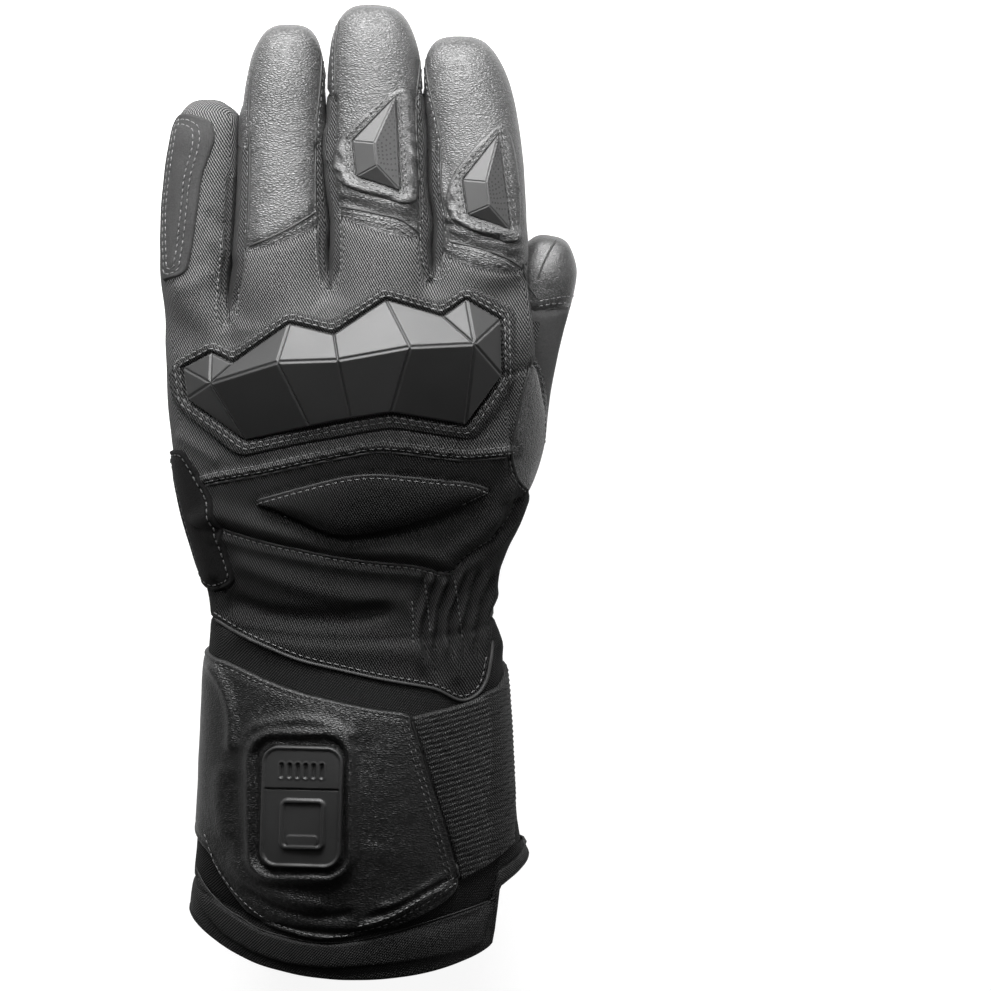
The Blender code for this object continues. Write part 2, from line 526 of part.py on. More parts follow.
def finger_piece(region, row, column):
    """The sewn piece that a face of a finger belongs to."""
    if row >= 100:
        back = row < 102
        side = "tip"
    else:
        side = side_of(column)
        back = column < ACROSS + 2 or column >= 3 * ACROSS + 2
    order = list(FINGERS)
    if side == "right" and row < STRIP_TO[region] and region != "index":
        return "strip_" + region + "_" + order[order.index(region) + 1]
    if side == "left" and row < STRIP_TO[region] and region != "little":
        return "strip_" + order[order.index(region) - 1] + "_" + region
    if not back:
        return "palm"
    return "finger_back_" + region if row >= LEATHER_FROM[region] and region != "little" else "hand_back"


def piece_of(region, row, column):
    """The sewn piece that a cage face belongs to."""
    if region == "body":
        if row >= HEM_ROW:
            return "hem_band"
        if row >= WRIST_ROW:
            return "cuff"
        if 4 * ACROSS <= column < 4 * ACROSS + 2 and THUMB_ROW <= row < THUMB_ROW + ACROSS:
            return "thumb_back"
        return "hand_back" if column < 4 * ACROSS + 2 or column >= ROUND - 2 else "palm"
    if region == "thumb":
        if row >= THUMB_CAP_FROM:
            return "thumb_cap"
        return "thumb_back" if column < ACROSS + 2 or column >= 3 * ACROSS + 2 else "thumb_pad"
    return finger_piece(region, row, column)


def under_prism(name, height, outline, z_low=-12.0, z_high=30.0):
    """An upright cutter with an outline drawn on the palm side."""
    n, shift = len(outline), np.array([*ORIGIN, 0.0])
    flat = [spot(u, v, height) - shift for u, v in outline]
    points = [[x, y, z_high] for x, y, _ in flat] + [[x, y, z_low] for x, y, _ in flat]
    polygons = [tuple(range(n)), tuple(range(2 * n - 1, n - 1, -1))]
    polygons += [(i, (i + 1) % n, (i + 1) % n + n, i + n) for i in range(n)]
    cutter = add_object(name, points, polygons)
    cutter.hide_render = True
    cutter.display_type = "WIRE"
    return cutter


def under_layer(name, rules, low, high, finish, gap=0.0):
    """A layer on the palm side of the picked faces, cut to its outline."""
    obj = sheet(name, pick(*rules), low, high, finish, gap=gap)
    cut(obj, "INTERSECT", under_prism("cut_" + name, *UNDERSIDE[name]))
    return obj


def grown(outline, by):
    """A plan outline moved outwards."""
    points = np.array(outline, float)
    area = sum(p[0] * q[1] - q[0] * p[1] for p, q in zip(points, np.roll(points, -1, 0)))
    moved = []
    for p, q, r in zip(np.roll(points, 1, 0), points, np.roll(points, -1, 0)):
        a, b = unit(q - p), unit(r - q)
        na, nb = np.array([a[1], -a[0]]), np.array([b[1], -b[0]])
        moved.append(q + math.copysign(by, area) * (na + nb) / max(0.4, 1 + na @ nb))
    return [tuple(p) for p in moved]


def surface_heights(places):
    """The height, mm, of the glove's back at plan points."""
    tree = BVHTree.FromPolygons([tuple(p) for p in VERTS], [t for f in FACES for t in halves(f)])
    origin = eye()[0] - np.array([*ORIGIN, 0.0])
    heights = []
    for u, v in places:
        aim = spot(u, v, 0.0) - np.array([*ORIGIN, 0.0])
        hit = tree.ray_cast(Vector(origin), Vector(unit(aim - origin)))[0]
        heights.append(hit[2])
    return heights


def moulded(name, places, highs, facets, rim, hand, finish):
    """A moulded guard with flat facets over plan places, hollowed to lie on the glove."""
    shift = np.array([*ORIGIN, 0.0])
    under = surface_heights(places)
    n = len(places)
    points = [spot(u, v, z + h) - shift for (u, v), z, h in zip(places, under, highs)]
    points += [spot(u, v, z - GUARD_ROOT) - shift for (u, v), z in zip(places, under)]
    fans = [(f[0], f[i], f[i + 1]) for f in facets for i in range(1, len(f) - 1)]
    polygons = fans + [tuple(i + n for i in reversed(f)) for f in fans]
    for i in range(rim):
        j = (i + 1) % rim
        polygons += [(i, i + n, j + n), (i, j + n, j)]
    obj = add_object(name, points, polygons, finish)
    cut(obj, "DIFFERENCE", hand)
    return obj


def whole_hand(above):
    """The space inside the glove and its wall, grown by some mm, as a cutter."""
    polygons = [t for f in FACES for t in halves(f)]
    sides = {}
    for f in polygons:
        for a, b in zip(f, f[1:] + f[:1]):
            sides[(a, b)] = True
    open_edges = {b: a for a, b in sides if (b, a) not in sides}
    start = next(iter(open_edges))
    loop, at = [start], open_edges[start]
    while at != start:
        loop.append(at)
        at = open_edges[at]
    middle = VERTS[loop].mean(0)
    points = [*(VERTS + NORMALS * above), middle]
    polygons += [(a, b, len(VERTS)) for a, b in zip(loop, loop[1:] + loop[:1])]
    hand = add_object("cut_hand", points, polygons)
    hand.hide_render = True
    hand.display_type = "WIRE"
    return hand


# ---------------------------------------------------------------- the glove
def build():
    for obj in list(bpy.data.objects):
        bpy.data.objects.remove(obj)

    # the padded wall, piece by piece
    walls = {"hand_back": "twill", "palm": "palm_leather", "finger_back_ring": "leather", "finger_back_middle": "leather",
             "finger_back_index": "leather", "strip_little_ring": "twill", "strip_ring_middle": "twill",
             "strip_middle_index": "twill", "thumb_back": "suede", "thumb_pad": "palm_leather", "thumb_cap": "twill",
             "cuff": "softshell", "hem_band": "softshell"}
    for name, finish in walls.items():
        chosen = [i for i, tag in enumerate(TAGS) if piece_of(*tag) == name]
        depth = HEM_WALL if name == "hem_band" else STRIP_WALL if name.startswith("strip") else WALL
        sheet(name, chosen, -depth, 0.0, finish, WEB_GAPS.get(name, SEAM_GAP))

    # layers on the back
    on_leather = SKIN + LEATHER + SKIN
    back = on_body(range(0, WRIST_ROW), range(0, 4 * ACROSS))
    layer("lens_pad", [back], LENS, SKIN, SKIN + 2.8, "twill")
    layer("little_finger_patch", [lambda g, r, c: g == "little" and (c < 6 or c >= 13)], LITTLE_PATCH, SKIN, SKIN + LEATHER,
          "leather", (14.0, 120.0))
    layer("side_patch", [on_body(range(2, WRIST_ROW + 1), [*range(0, 5), *range(34, ROUND)])], SIDE_PATCH, SKIN,
          SKIN + LEATHER, "suede", (12.0, 120.0))
    frame = layer("knuckle_frame", [on_body(range(0, WRIST_ROW), [*range(0, 4 * ACROSS + 2), ROUND - 2, ROUND - 1])], FRAME_RIM, SKIN, SKIN + 2.6, "twill")
    cut(frame, "DIFFERENCE", prism("cut_guard", grown(GUARD_RIM, 1.4), 0.0, 120.0))
    rim, hand = len(GUARD_RIM), whole_hand(SKIN + 0.1)
    moulded("knuckle_guard", GUARD_RIM + [(p.u, p.v) for p in GUARD_PEAKS], [3.4] * rim + [p.high for p in GUARD_PEAKS],
            GUARD_FACETS, rim, hand, "moulded_guard")
    for finger, places in FINGER_GUARDS.items():
        moulded("finger_guard_" + finger, places, [2.6] * 4 + [5.6], FINGER_FACETS, 4, hand, "moulded_guard")

    # the cuff's layers
    cuff = range(WRIST_ROW, len(SECTIONS) - 1)
    layer("cuff_panel", [on_body(cuff, [*range(0, 16), *range(35, ROUND)])], PANEL, SKIN, SKIN + LEATHER, "leather",
          (-10.0, 120.0))
    layer("control_housing", [on_body(cuff, range(0, 16))], rounded(*HOUSING), on_leather, on_leather + 2.4, "rubber")
    layer("control_button", [on_body(cuff, range(0, 16))], rounded(*BUTTON), on_leather + 2.4 + SKIN, on_leather + 4.0,
          "rubber")
    strap = sheet("cuff_strap", pick(on_body(cuff, range(7, 20))), SKIN, SKIN + LEATHER, "webbing")
    cut(strap, "INTERSECT", prism("cut_strap", STRAP, -10.0, 120.0))

    # layers under the palm and cuff
    palm, below = range(4 * ACROSS + 4, ROUND - 4), range(0, WRIST_ROW)
    under_layer("strap_tab", [on_body(cuff, palm)], SKIN, SKIN + LEATHER, "leather", SEAM_GAP)
    under_layer("loop_patch", [on_body(cuff, palm)], SKIN, SKIN + LEATHER + 0.3, "loop_fabric")
    under_layer("wrist_tab", [on_body(range(8, 13), palm)], SKIN, SKIN + LEATHER, "leather")
    under_layer("hem_tab", [on_body(cuff, palm)], SKIN, SKIN + LEATHER, "leather")
    under_layer("palm_patch", [on_body(below, range(20, ROUND - 1))], SKIN, SKIN + LEATHER, "suede")
    under_layer("palm_slider", [on_body(below, range(20, ROUND - 1))], on_leather, on_leather + 2.1, "moulded_guard")
    under_layer("touch_patch", [lambda g, r, c: g == "index" and (6 <= c < 14 or r >= 102)], SKIN, SKIN + 0.9,
                "palm_leather")


build()
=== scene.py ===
"""The looks of the heated motorcycle glove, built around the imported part.

The padded skin is the part's own cage of faces, subdivided, with folds, gathers and seams pressed into it. Layers,
guards, piping and stitches are laid on that skin. Lengths are in mm until a mesh is made; then they are in metres.
"""
import json
import math
from collections import namedtuple

import bmesh
import bpy
import numpy as np
from mathutils import Matrix, Vector, noise
from mathutils.bvhtree import BVHTree
from mathutils.geometry import delaunay_2d_cdt
from mathutils.kdtree import KDTree

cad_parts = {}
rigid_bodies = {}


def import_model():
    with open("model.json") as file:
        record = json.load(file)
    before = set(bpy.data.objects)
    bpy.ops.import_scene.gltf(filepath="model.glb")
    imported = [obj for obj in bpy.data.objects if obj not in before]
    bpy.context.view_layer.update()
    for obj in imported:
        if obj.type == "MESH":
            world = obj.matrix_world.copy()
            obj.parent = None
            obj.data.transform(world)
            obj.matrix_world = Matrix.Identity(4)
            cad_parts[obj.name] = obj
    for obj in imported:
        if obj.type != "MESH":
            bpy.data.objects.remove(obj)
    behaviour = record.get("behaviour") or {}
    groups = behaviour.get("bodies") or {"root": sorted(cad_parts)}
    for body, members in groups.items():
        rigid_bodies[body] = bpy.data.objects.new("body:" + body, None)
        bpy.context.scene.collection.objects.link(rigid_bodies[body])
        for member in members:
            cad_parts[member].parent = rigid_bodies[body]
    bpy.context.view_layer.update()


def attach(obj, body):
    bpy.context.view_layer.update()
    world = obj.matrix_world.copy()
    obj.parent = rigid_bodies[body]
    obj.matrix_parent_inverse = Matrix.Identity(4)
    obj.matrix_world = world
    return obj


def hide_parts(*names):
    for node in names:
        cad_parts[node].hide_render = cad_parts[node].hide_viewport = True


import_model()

# ------------------------------------------------- the cage, as in the part
ORIGIN = (6.962, 10.723)
WEB_SHARE = 0.4
UNIT = 0.34
MIDDLE = 495.5
AXIS_U = 352.0
LEAN = math.radians(16.0)
DISTANCE = 1500.0


def table(columns, rows):
    """The rows as tuples with the columns' names."""
    row = namedtuple("Row", columns)
    return [row(*r) for r in rows]


# Sections of the hand and cuff, knuckles to hem. ul and ur are the plan
# widths, side_l and side_r the heights of the two silhouette edges, top_* the
# back's height near the little finger, in the middle and near the thumb, bot_*
# the palm's, valley the dip between the knuckles, follow the share that the
# section bends with the finger roots, power its roundness.
SECTIONS = table("v ul ur side_l side_r top_l top_m top_r bot_l bot_m bot_r valley follow power", [
    (292, 161, 532, 23, 34, 39.0, 46.5, 45.5, 6, 13, 20, 0.0, 1.00, 2.5),
    (332, 160, 541, 23, 38, 43.0, 52.0, 51.0, 6, 13, 23, 4.5, 0.62, 2.6),
    (364, 162, 540, 23, 34, 44.5, 53.5, 52.0, 6, 12, 20, 1.6, 0.36, 2.7),
    (396, 163, 546, 23, 25, 44.5, 53.0, 51.0, 5, 10, 13, 0.4, 0.18, 2.7),
    (428, 166, 548, 22, 20, 44.0, 51.5, 49.5, 4.6, 8, 8, 0.0, 0.06, 2.7),
    (460, 171, 543, 21, 19, 43.5, 50.0, 47.5, 4.4, 6, 4, 0.0, 0.0, 2.6),
    (492, 174, 533, 21, 20, 43.0, 49.0, 46.0, 4.4, 4.4, 3.0, 0.0, 0.0, 2.6),
    (524, 181, 521, 21, 22, 42.5, 48.5, 45.0, 4.0, 3.6, 2.6, 0.0, 0.0, 2.5),
    (556, 193, 507, 22, 25, 42.5, 48.0, 45.0, 3.0, 3.0, 2.2, 0.0, 0.0, 2.5),
    (588, 205, 495, 23, 25, 43.0, 48.0, 45.5, 2.4, 2.4, 2.1, 0.0, 0.0, 2.5),
    (618, 209, 496, 24, 26, 44.0, 49.5, 47.0, 2.1, 2.1, 2.1, 0.0, 0.0, 2.5),
    (652, 206, 504, 26, 27, 47.0, 53.0, 50.0, 2.1, 2.1, 2.1, 0.0, 0.0, 2.4),
    (690, 202.5, 508, 28, 28, 50.0, 57.0, 53.0, 2.1, 2.1, 2.1, 0.0, 0.0, 2.4),
    (728, 200.5, 509.5, 29, 29, 53.0, 60.0, 55.5, 2.1, 2.1, 2.1, 0.0, 0.0, 2.4),
    (766, 199, 513, 30, 30, 55.0, 62.5, 57.5, 2.1, 2.1, 2.1, 0.0, 0.0, 2.4),
    (804, 198, 516.5, 31, 29, 57.0, 64.5, 59.5, 2.1, 2.1, 2.1, 0.0, 0.0, 2.4),
    (842, 194.5, 521.5, 32, 27, 58.5, 66.0, 61.0, 2.1, 2.1, 2.1, 0.0, 0.0, 2.4),
    (872, 190, 528, 33, 24, 59.5, 67.0, 62.0, 2.1, 2.1, 2.1, 0.0, 0.0, 2.4),
    (900, 186.5, 531, 33, 22, 60.0, 67.5, 62.5, 2.1, 2.1, 2.1, 0.0, 0.0, 2.4),
])
WRIST_ROW, HEM_ROW = 10, 17      # first rows of the cuff and of the hem band
PALM_SEAMS = {1: 0.78, 2: 0.74, 3: 0.70, 4: 0.68, 5: 0.70, 6: 0.74, 7: 0.78}
SEAM = 0.80                      # seams' place between middle and silhouette

# The hem's cut: how much longer than at the little finger side, in mm, across
# the cuff from that side to the thumb side, and the last rows' share of it.
HEM_CUT = table("across longer", [
    (-1.0, 0.5), (-0.85, 6.5), (-0.6, 10.8), (-0.3, 12.4), (-0.1, 12.6), (0.15, 12.3),
    (0.45, 11.2), (0.7, 9.0), (0.85, 4.5), (1.0, -4.5)])
HEM_SHARE = {3: 0.18, 2: 0.55, 1: 1.0}

# The lines between the fingers: where they meet the back and the palm.
ROOTS = table("u v_back z_back v_palm z_palm", [
    (161.0, 322, 0, 284, 0), (227.5, 318, 31, 276, 14), (330.5, 287, 36, 250, 17),
    (433.0, 279, 37, 251, 20), (532.0, 270, 0, 256, 0)])

# Finger sections, root to tip: plan centre and half width, centre height and
# half heights above and below it, mm. slant leans a section across the finger:
# its thumb side edge is that much nearer the hem on the plan.
FINGERS = {
    "little": table("v u half z up down slant", [
        (279, 194.0, 33.4, 21.4, 13.0, 13.2, 0), (246, 195.8, 35.0, 19.6, 12.8, 13.5, 0),
        (210, 198.3, 35.2, 17.0, 12.6, 13.5, 0), (172, 200.8, 34.8, 14.6, 12.4, 14.0, 0),
        (142, 203.6, 33.2, 12.8, 12.0, 14.0, 0), (120, 206.8, 28.4, 11.8, 10.4, 12.5, 0)]),
    "ring": table("v u half z up down slant", [
        (262, 281.5, 46.5, 27.6, 14.6, 14.0, -5), (228, 283.2, 45.6, 25.1, 14.6, 14.0, -17),
        (182, 283.0, 43.3, 21.2, 14.3, 14.0, -6), (142, 283.4, 40.8, 17.8, 14.0, 14.5, 0),
        (102, 284.0, 40.2, 15.0, 13.6, 16.0, 0), (68, 286.5, 37.4, 13.6, 12.8, 15.5, 0),
        (44, 288.5, 31.0, 12.8, 10.8, 13.0, 0)]),
    "middle": table("v u half z up down slant", [
        (254, 382.5, 48.6, 30.5, 15.6, 15.0, 8), (216, 381.8, 48.2, 27.4, 15.4, 15.0, 16),
        (174, 378.4, 48.0, 23.6, 15.0, 14.5, 5), (134, 376.4, 47.8, 20.0, 14.8, 14.5, 0),
        (92, 375.0, 46.4, 16.6, 14.4, 16.0, 0), (54, 374.2, 44.6, 14.6, 13.6, 16.0, 0),
        (26, 373.2, 37.0, 13.4, 11.2, 13.5, 0)]),
    "index": table("v u half z up down slant", [
        (250, 481.8, 46.8, 30.0, 15.0, 14.0, 14), (214, 480.0, 45.4, 26.8, 14.8, 14.0, 8),
        (180, 477.5, 45.6, 23.6, 14.6, 14.0, 3), (146, 474.8, 45.4, 20.4, 14.4, 14.0, 0),
        (112, 471.2, 44.2, 17.2, 14.0, 15.4, 0), (80, 466.2, 41.6, 14.8, 13.2, 13.0, 0),
        (56, 461.6, 35.4, 13.4, 11.2, 11.4, 0)]),
}
FINGER_POWER = 2.35
# The thumb's are turned by some degrees to the thumb side, half widths in mm;
# twist is how far its lengthwise lines have run round it, in degrees.
THUMB = table("u v turn twist half z up down", [
    (516, 390, 42, -58, 14.4, 12.6, 9.6, 12.6), (521, 348, 24, -26, 13.0, 13.0, 10.2, 13.2),
    (529, 310, 17, -6, 12.8, 13.4, 10.8, 13.6), (538, 286, 14, 0, 12.2, 13.2, 10.8, 13.4),
    (545, 265, 12, 0, 11.2, 12.6, 10.4, 12.6), (548.5, 252, 10, 0, 8.4, 12.2, 8.8, 10.5)])
THUMB_ROW, THUMB_COLUMN = 2, 18   # first of the 4 by 4 faces it grows from
TIPS = table("finger u v z", [("little", 207, 100, 11.0), ("ring", 289, 25, 12.0), ("middle", 372, 5, 12.5),
                              ("index", 458, 37, 12.0), ("thumb", 552, 237, 12.0)])
ACROSS = 4            # faces across a finger's back, along its side, and so on
ROUND = 10 * ACROSS   # faces round the hand and cuff

# Leather starts at this row of faces on the back of a finger, and the strips
# between the fingers end before this one.
LEATHER_FROM = {"little": 9, "ring": 2, "middle": 2, "index": 1}
STRIP_TO = {"little": 4, "ring": 4, "middle": 5, "index": 4}
THUMB_CAP_FROM = 3

# --------------------------------------------------------------- plan to space
def eye():
    """The drawing's eye point and its right, up and backward axes."""
    back = np.array([0.0, math.sin(LEAN), math.cos(LEAN)])
    up = np.array([0.0, math.cos(LEAN), -math.sin(LEAN)])
    middle = np.array([(MIDDLE - AXIS_U) * UNIT, 0.0, 0.0])
    return middle + back * DISTANCE, np.stack([[1.0, 0.0, 0.0], up, back], 1)


def spot(u, v, z):
    """The point at height z that plan point (u, v) shows, mm."""
    point, axes = eye()
    ray = axes @ np.array([u - MIDDLE, MIDDLE - v, -DISTANCE / UNIT])
    return point + ray * (z - point[2]) / ray[2]


def through(s, a, b, c):
    """The parabola through a, b and c at s = -0.6, 0 and 0.6."""
    return b + (c - a) / 1.2 * s + ((a + c) / 2 - b) / 0.36 * s * s


# ---------------------------------------------------------------- the cage
class Outline:
    """One closed section of the hand or cuff, cut square to the glove."""

    def __init__(self, row, n=361):
        self.row = row
        self.xl, self.xr = spot(row.ul, row.v, row.side_l)[0], spot(row.ur, row.v, row.side_r)[0]
        fan = np.linspace(0, math.pi, n)
        s = -np.sign(np.cos(fan)) * np.abs(np.cos(fan)) ** (2 / row.power)
        h = np.sin(fan).clip(0) ** (2 / row.power)
        edge = row.side_l + (row.side_r - row.side_l) * (s + 1) / 2
        self.s = s
        self.x = self.xl + (self.xr - self.xl) * (s + 1) / 2
        self.top = edge + (through(s, row.top_l, row.top_m, row.top_r) - edge) * h
        self.bottom = edge + (through(s, row.bot_l, row.bot_m, row.bot_r) - edge) * h

    def side(self, right, s_top, s_bottom):
        """Points from the back's seam round one silhouette edge to the palm's seam."""
        sign = 1 if right else -1
        t, b = self.s * sign >= s_top, self.s * sign >= s_bottom
        top = np.stack([self.x[t], self.top[t]], 1)
        low = np.stack([self.x[b], self.bottom[b]], 1)
        run = np.concatenate([top, low[::-1]]) if right else np.concatenate([top[::-1], low])
        along = np.concatenate([[0], np.cumsum(np.linalg.norm(np.diff(run, axis=0), axis=1))])
        at = np.linspace(0, along[-1], ACROSS + 1)
        return np.stack([np.interp(at, along, run[:, k]) for k in range(2)], 1)

    def lines(self, seam_l, seam_r, mix):
        """The x of the five lines that bound the fingers, evened out by mix."""
        w = self.xr - self.xl
        a, b = self.xl + w * (1 - seam_l) / 2, self.xr - w * (1 - seam_r) / 2
        own = np.array([a, *[spot(r.u, self.row.v, 35)[0] for r in ROOTS[1:4]], b])
        return own * (1 - mix) + np.linspace(a, b, 5) * mix


def build_cage():
    """Vertices (mm), faces of four, and each face's (region, row, column)."""
    verts, faces, tags = [], [], []

    def add(p):
        verts.append(np.array(p, float))
        return len(verts) - 1

    knots = np.arange(0, 4 * ACROSS + 1, ACROSS)
    steps = np.arange(4 * ACROSS + 1)
    back_v = np.interp(steps, knots, [r.v_back for r in ROOTS])
    palm_v = np.interp(steps, knots, [r.v_palm for r in ROOTS])
    bulge = np.array([0, 5, 8, 5] * 4 + [0.0])     # finger roots reach forward
    last = len(SECTIONS)
    ids = []
    for r, row in enumerate(SECTIONS):
        sec, mix, palm_seam = Outline(row), min(1.0, r / 7.0), PALM_SEAMS.get(r, SEAM)
        top_x, low_x = sec.lines(SEAM, SEAM, mix), sec.lines(SEAM, palm_seam, mix)
        points = []
        for i in range(4 * ACROSS):
            x = np.interp(i, knots, top_x)
            points.append([x, np.interp(x, sec.x, sec.top), "back", i, back_v[i]])
        for i, (x, z) in enumerate(sec.side(True, SEAM, palm_seam)[:-1]):
            points.append([x, z, "right", i, back_v[-1] + (palm_v[-1] - back_v[-1]) * i / ACROSS])
        for i in range(4 * ACROSS, 0, -1):
            x = np.interp(i, knots, low_x)
            points.append([x, np.interp(x, sec.x, sec.bottom), "palm", i, palm_v[i]])
        for i, (x, z) in enumerate(sec.side(False, SEAM, SEAM)[::-1][:-1]):
            points.append([x, z, "left", i, palm_v[0] + (back_v[0] - palm_v[0]) * i / ACROSS])
        mid = (back_v.mean() + palm_v.mean()) / 2
        line = []
        for x, z, kind, i, v in points:
            at = row.v + row.follow * (v - mid)
            if r == 0 and kind in ("back", "palm"):
                at -= bulge[i]
            y = spot(AXIS_U, at, (row.side_l + row.side_r) / 2)[1]
            if kind == "back" and r > 0 and i in knots[1:4]:
                z -= row.valley
            elif kind == "back" and r > 0 and i % ACROSS in (1, ACROSS - 1):
                z -= row.valley * 0.35
            if r == 0 and kind in ("back", "palm") and i in knots[1:4]:
                root = ROOTS[i // ACROSS]
                x = spot(root.u, root.v_back, root.z_back)[0]
                if kind == "back":
                    y, z = spot(root.u, root.v_back, root.z_back)[1], root.z_back
                else:
                    y, z = spot(root.u, root.v_palm, 40 - root.z_palm)[1], root.z_palm
            share = HEM_SHARE.get(last - r, 0.0)
            if share:
                across = (2 * x - sec.xl - sec.xr) / (sec.xr - sec.xl)
                y -= share * np.interp(across, *zip(*HEM_CUT))
            line.append(add([x, y, max(z, 0.0)]))
        ids.append(line)
    for r in range(last - 1):
        for j in range(ROUND):
            if 0 <= r - THUMB_ROW < ACROSS and 0 <= j - THUMB_COLUMN < ACROSS:
                continue
            k = (j + 1) % ROUND
            faces.append((ids[r][j], ids[r][k], ids[r + 1][k], ids[r + 1][j]))
            tags.append(("body", r, j))

    # the webs between the fingers, shared by both neighbours
    webs = []
    for k in (1, 2, 3):
        top, low = ids[0][ACROSS * k], ids[0][9 * ACROSS - ACROSS * k]
        p, q = verts[top], verts[low]
        inner = [add(p + (q - p) * i / ACROSS + [0, 1.5 * math.sin(math.pi * i / ACROSS), 0]) for i in range(1, ACROSS)]
        webs.append([top, *inner, low])

    seam = math.radians(35)
    angles = np.concatenate([np.linspace(math.pi - seam, seam, ACROSS + 1)[:-1], np.linspace(seam, -seam, ACROSS + 1)[:-1],
                             np.linspace(-seam, seam - math.pi, ACROSS + 1)[:-1],
                             np.linspace(seam - math.pi, -math.pi - seam, ACROSS + 1)[:-1]])
    cos, sin = np.cos(angles), np.sin(angles)
    wide, tall = (np.sign(a) * np.abs(a) ** (2 / FINGER_POWER) for a in (cos, sin))

    def tube(name, ring, rings, tip):
        """Rings joined to the first one, and a domed 4 by 4 patch over the last."""
        n = len(angles)
        for k, points in enumerate(rings):
            now = [add(p) for p in points]
            for j in range(n):
                faces.append((ring[j], now[j], now[(j + 1) % n], ring[(j + 1) % n]))
                tags.append((name, k, j))
            ring = now
        centre = np.mean([verts[i] for i in ring], 0)
        reach = tip - centre
        grid = np.empty((ACROSS + 1, ACROSS + 1), int)
        for i in range(ACROSS + 1):
            grid[0, i], grid[ACROSS, i] = ring[i], ring[3 * ACROSS - i]
            grid[i, ACROSS], grid[i, 0] = ring[ACROSS + i], ring[(n - i) % n]
        for i in range(1, ACROSS):
            for j in range(1, ACROSS):
                s, t = j / ACROSS, i / ACROSS
                p = ((1 - t) * verts[grid[0, j]] + t * verts[grid[ACROSS, j]]
                     + (1 - s) * verts[grid[i, 0]] + s * verts[grid[i, ACROSS]]
                     - (1 - s) * (1 - t) * verts[grid[0, 0]] - s * (1 - t) * verts[grid[0, ACROSS]]
                     - (1 - s) * t * verts[grid[ACROSS, 0]] - s * t * verts[grid[ACROSS, ACROSS]])
                rho = min(1.0, math.hypot(2 * s - 1, 2 * t - 1) / 1.19)
                spread, lift = (1.12, 1.04) if rho > 0.1 else (1.0, 1.0)
                p = centre + (p - centre) * (spread if rho > 0.5 else 1.0) + reach * math.sqrt(1 - rho * rho) * lift
                grid[i, j] = add([p[0], p[1], max(p[2], 0.0)])
        for i in range(ACROSS):
            for j in range(ACROSS):
                faces.append((grid[i, j], grid[i + 1, j], grid[i + 1, j + 1], grid[i, j + 1]))
                tags.append((name, 100 + i, j))

    tips = {t.finger: spot(t.u, t.v, t.z) for t in TIPS}
    for f, (name, rows) in enumerate(FINGERS.items()):
        right = webs[f][:ACROSS] if f < 3 else [ids[0][4 * ACROSS + i] for i in range(ACROSS)]
        left = ([ids[0][(9 * ACROSS + i) % ROUND] for i in range(ACROSS)] if f == 0
                else [webs[f - 1][ACROSS - i] for i in range(ACROSS)])
        first = ([ids[0][ACROSS * f + i] for i in range(ACROSS)] + right
                 + [ids[0][5 * ACROSS + ACROSS * (3 - f) + i] for i in range(ACROSS)] + left)
        rings = []
        for k, row in enumerate(rows):
            centre = spot(row.u, row.v, row.z)
            slope = {0: 4.2, 1: 2.2, 2: 0.8}.get(k, 0.0)
            lean = row.slant * wide
            rings.append(np.stack([centre[0] + row.half * UNIT * wide, centre[1] - slope * sin - lean * UNIT,
                                   (row.z + 0.08 * lean + np.where(sin > 0, row.up, row.down) * tall).clip(0)], 1))
        tube(name, first, rings, tips[name])
    r0, c0 = THUMB_ROW, THUMB_COLUMN
    first = ([ids[r0 + i][c0] for i in range(ACROSS)] + [ids[r0 + ACROSS][c0 + i] for i in range(ACROSS)]
             + [ids[r0 + ACROSS - i][c0 + ACROSS] for i in range(ACROSS)] + [ids[r0][c0 + ACROSS - i] for i in range(ACROSS)])
    rings = []
    for row in THUMB:
        turn, centre = math.radians(row.turn), spot(row.u, row.v, row.z)
        cos, sin = np.cos(angles + math.radians(row.twist)), np.sin(angles + math.radians(row.twist))
        wide, tall = (np.sign(a) * np.abs(a) ** (2 / FINGER_POWER) for a in (cos, sin))
        w, h = row.half * wide, np.where(sin > 0, row.up, row.down) * tall
        rings.append(np.stack([centre[0] + w * math.cos(turn), centre[1] - w * math.sin(turn), (row.z + h).clip(0)], 1))
    tube("thumb", first, rings, tips["thumb"])
    return np.array(verts) - [*ORIGIN, 0.0], [tuple(reversed(f)) for f in faces], tags


VERTS, FACES, TAGS = build_cage()


def side_of(column):
    """Which of its four sides a finger's column of faces is on."""
    return ("back", "right", "palm", "left")[column // ACROSS]


def finger_piece(region, row, column):
    """The sewn piece that a face of a finger belongs to."""
    if row >= 100:
        back = row < 102
        side = "tip"
    else:
        side = side_of(column)
        back = column < ACROSS + 2 or column >= 3 * ACROSS + 2
    order = list(FINGERS)
    if side == "right" and row < STRIP_TO[region] and region != "index":
        return "strip_" + region + "_" + order[order.index(region) + 1]
    if side == "left" and row < STRIP_TO[region] and region != "little":
        return "strip_" + order[order.index(region) - 1] + "_" + region
    if not back:
        return "palm"
    return "finger_back_" + region if row >= LEATHER_FROM[region] and region != "little" else "hand_back"


def piece_of(region, row, column):
    """The sewn piece that a cage face belongs to."""
    if region == "body":
        if row >= HEM_ROW:
            return "hem_band"
        if row >= WRIST_ROW:
            return "cuff"
        if 4 * ACROSS <= column < 4 * ACROSS + 2 and THUMB_ROW <= row < THUMB_ROW + ACROSS:
            return "thumb_back"
        return "hand_back" if column < 4 * ACROSS + 2 or column >= ROUND - 2 else "palm"
    if region == "thumb":
        if row >= THUMB_CAP_FROM:
            return "thumb_cap"
        return "thumb_back" if column < ACROSS + 2 or column >= 3 * ACROSS + 2 else "thumb_pad"
    return finger_piece(region, row, column)



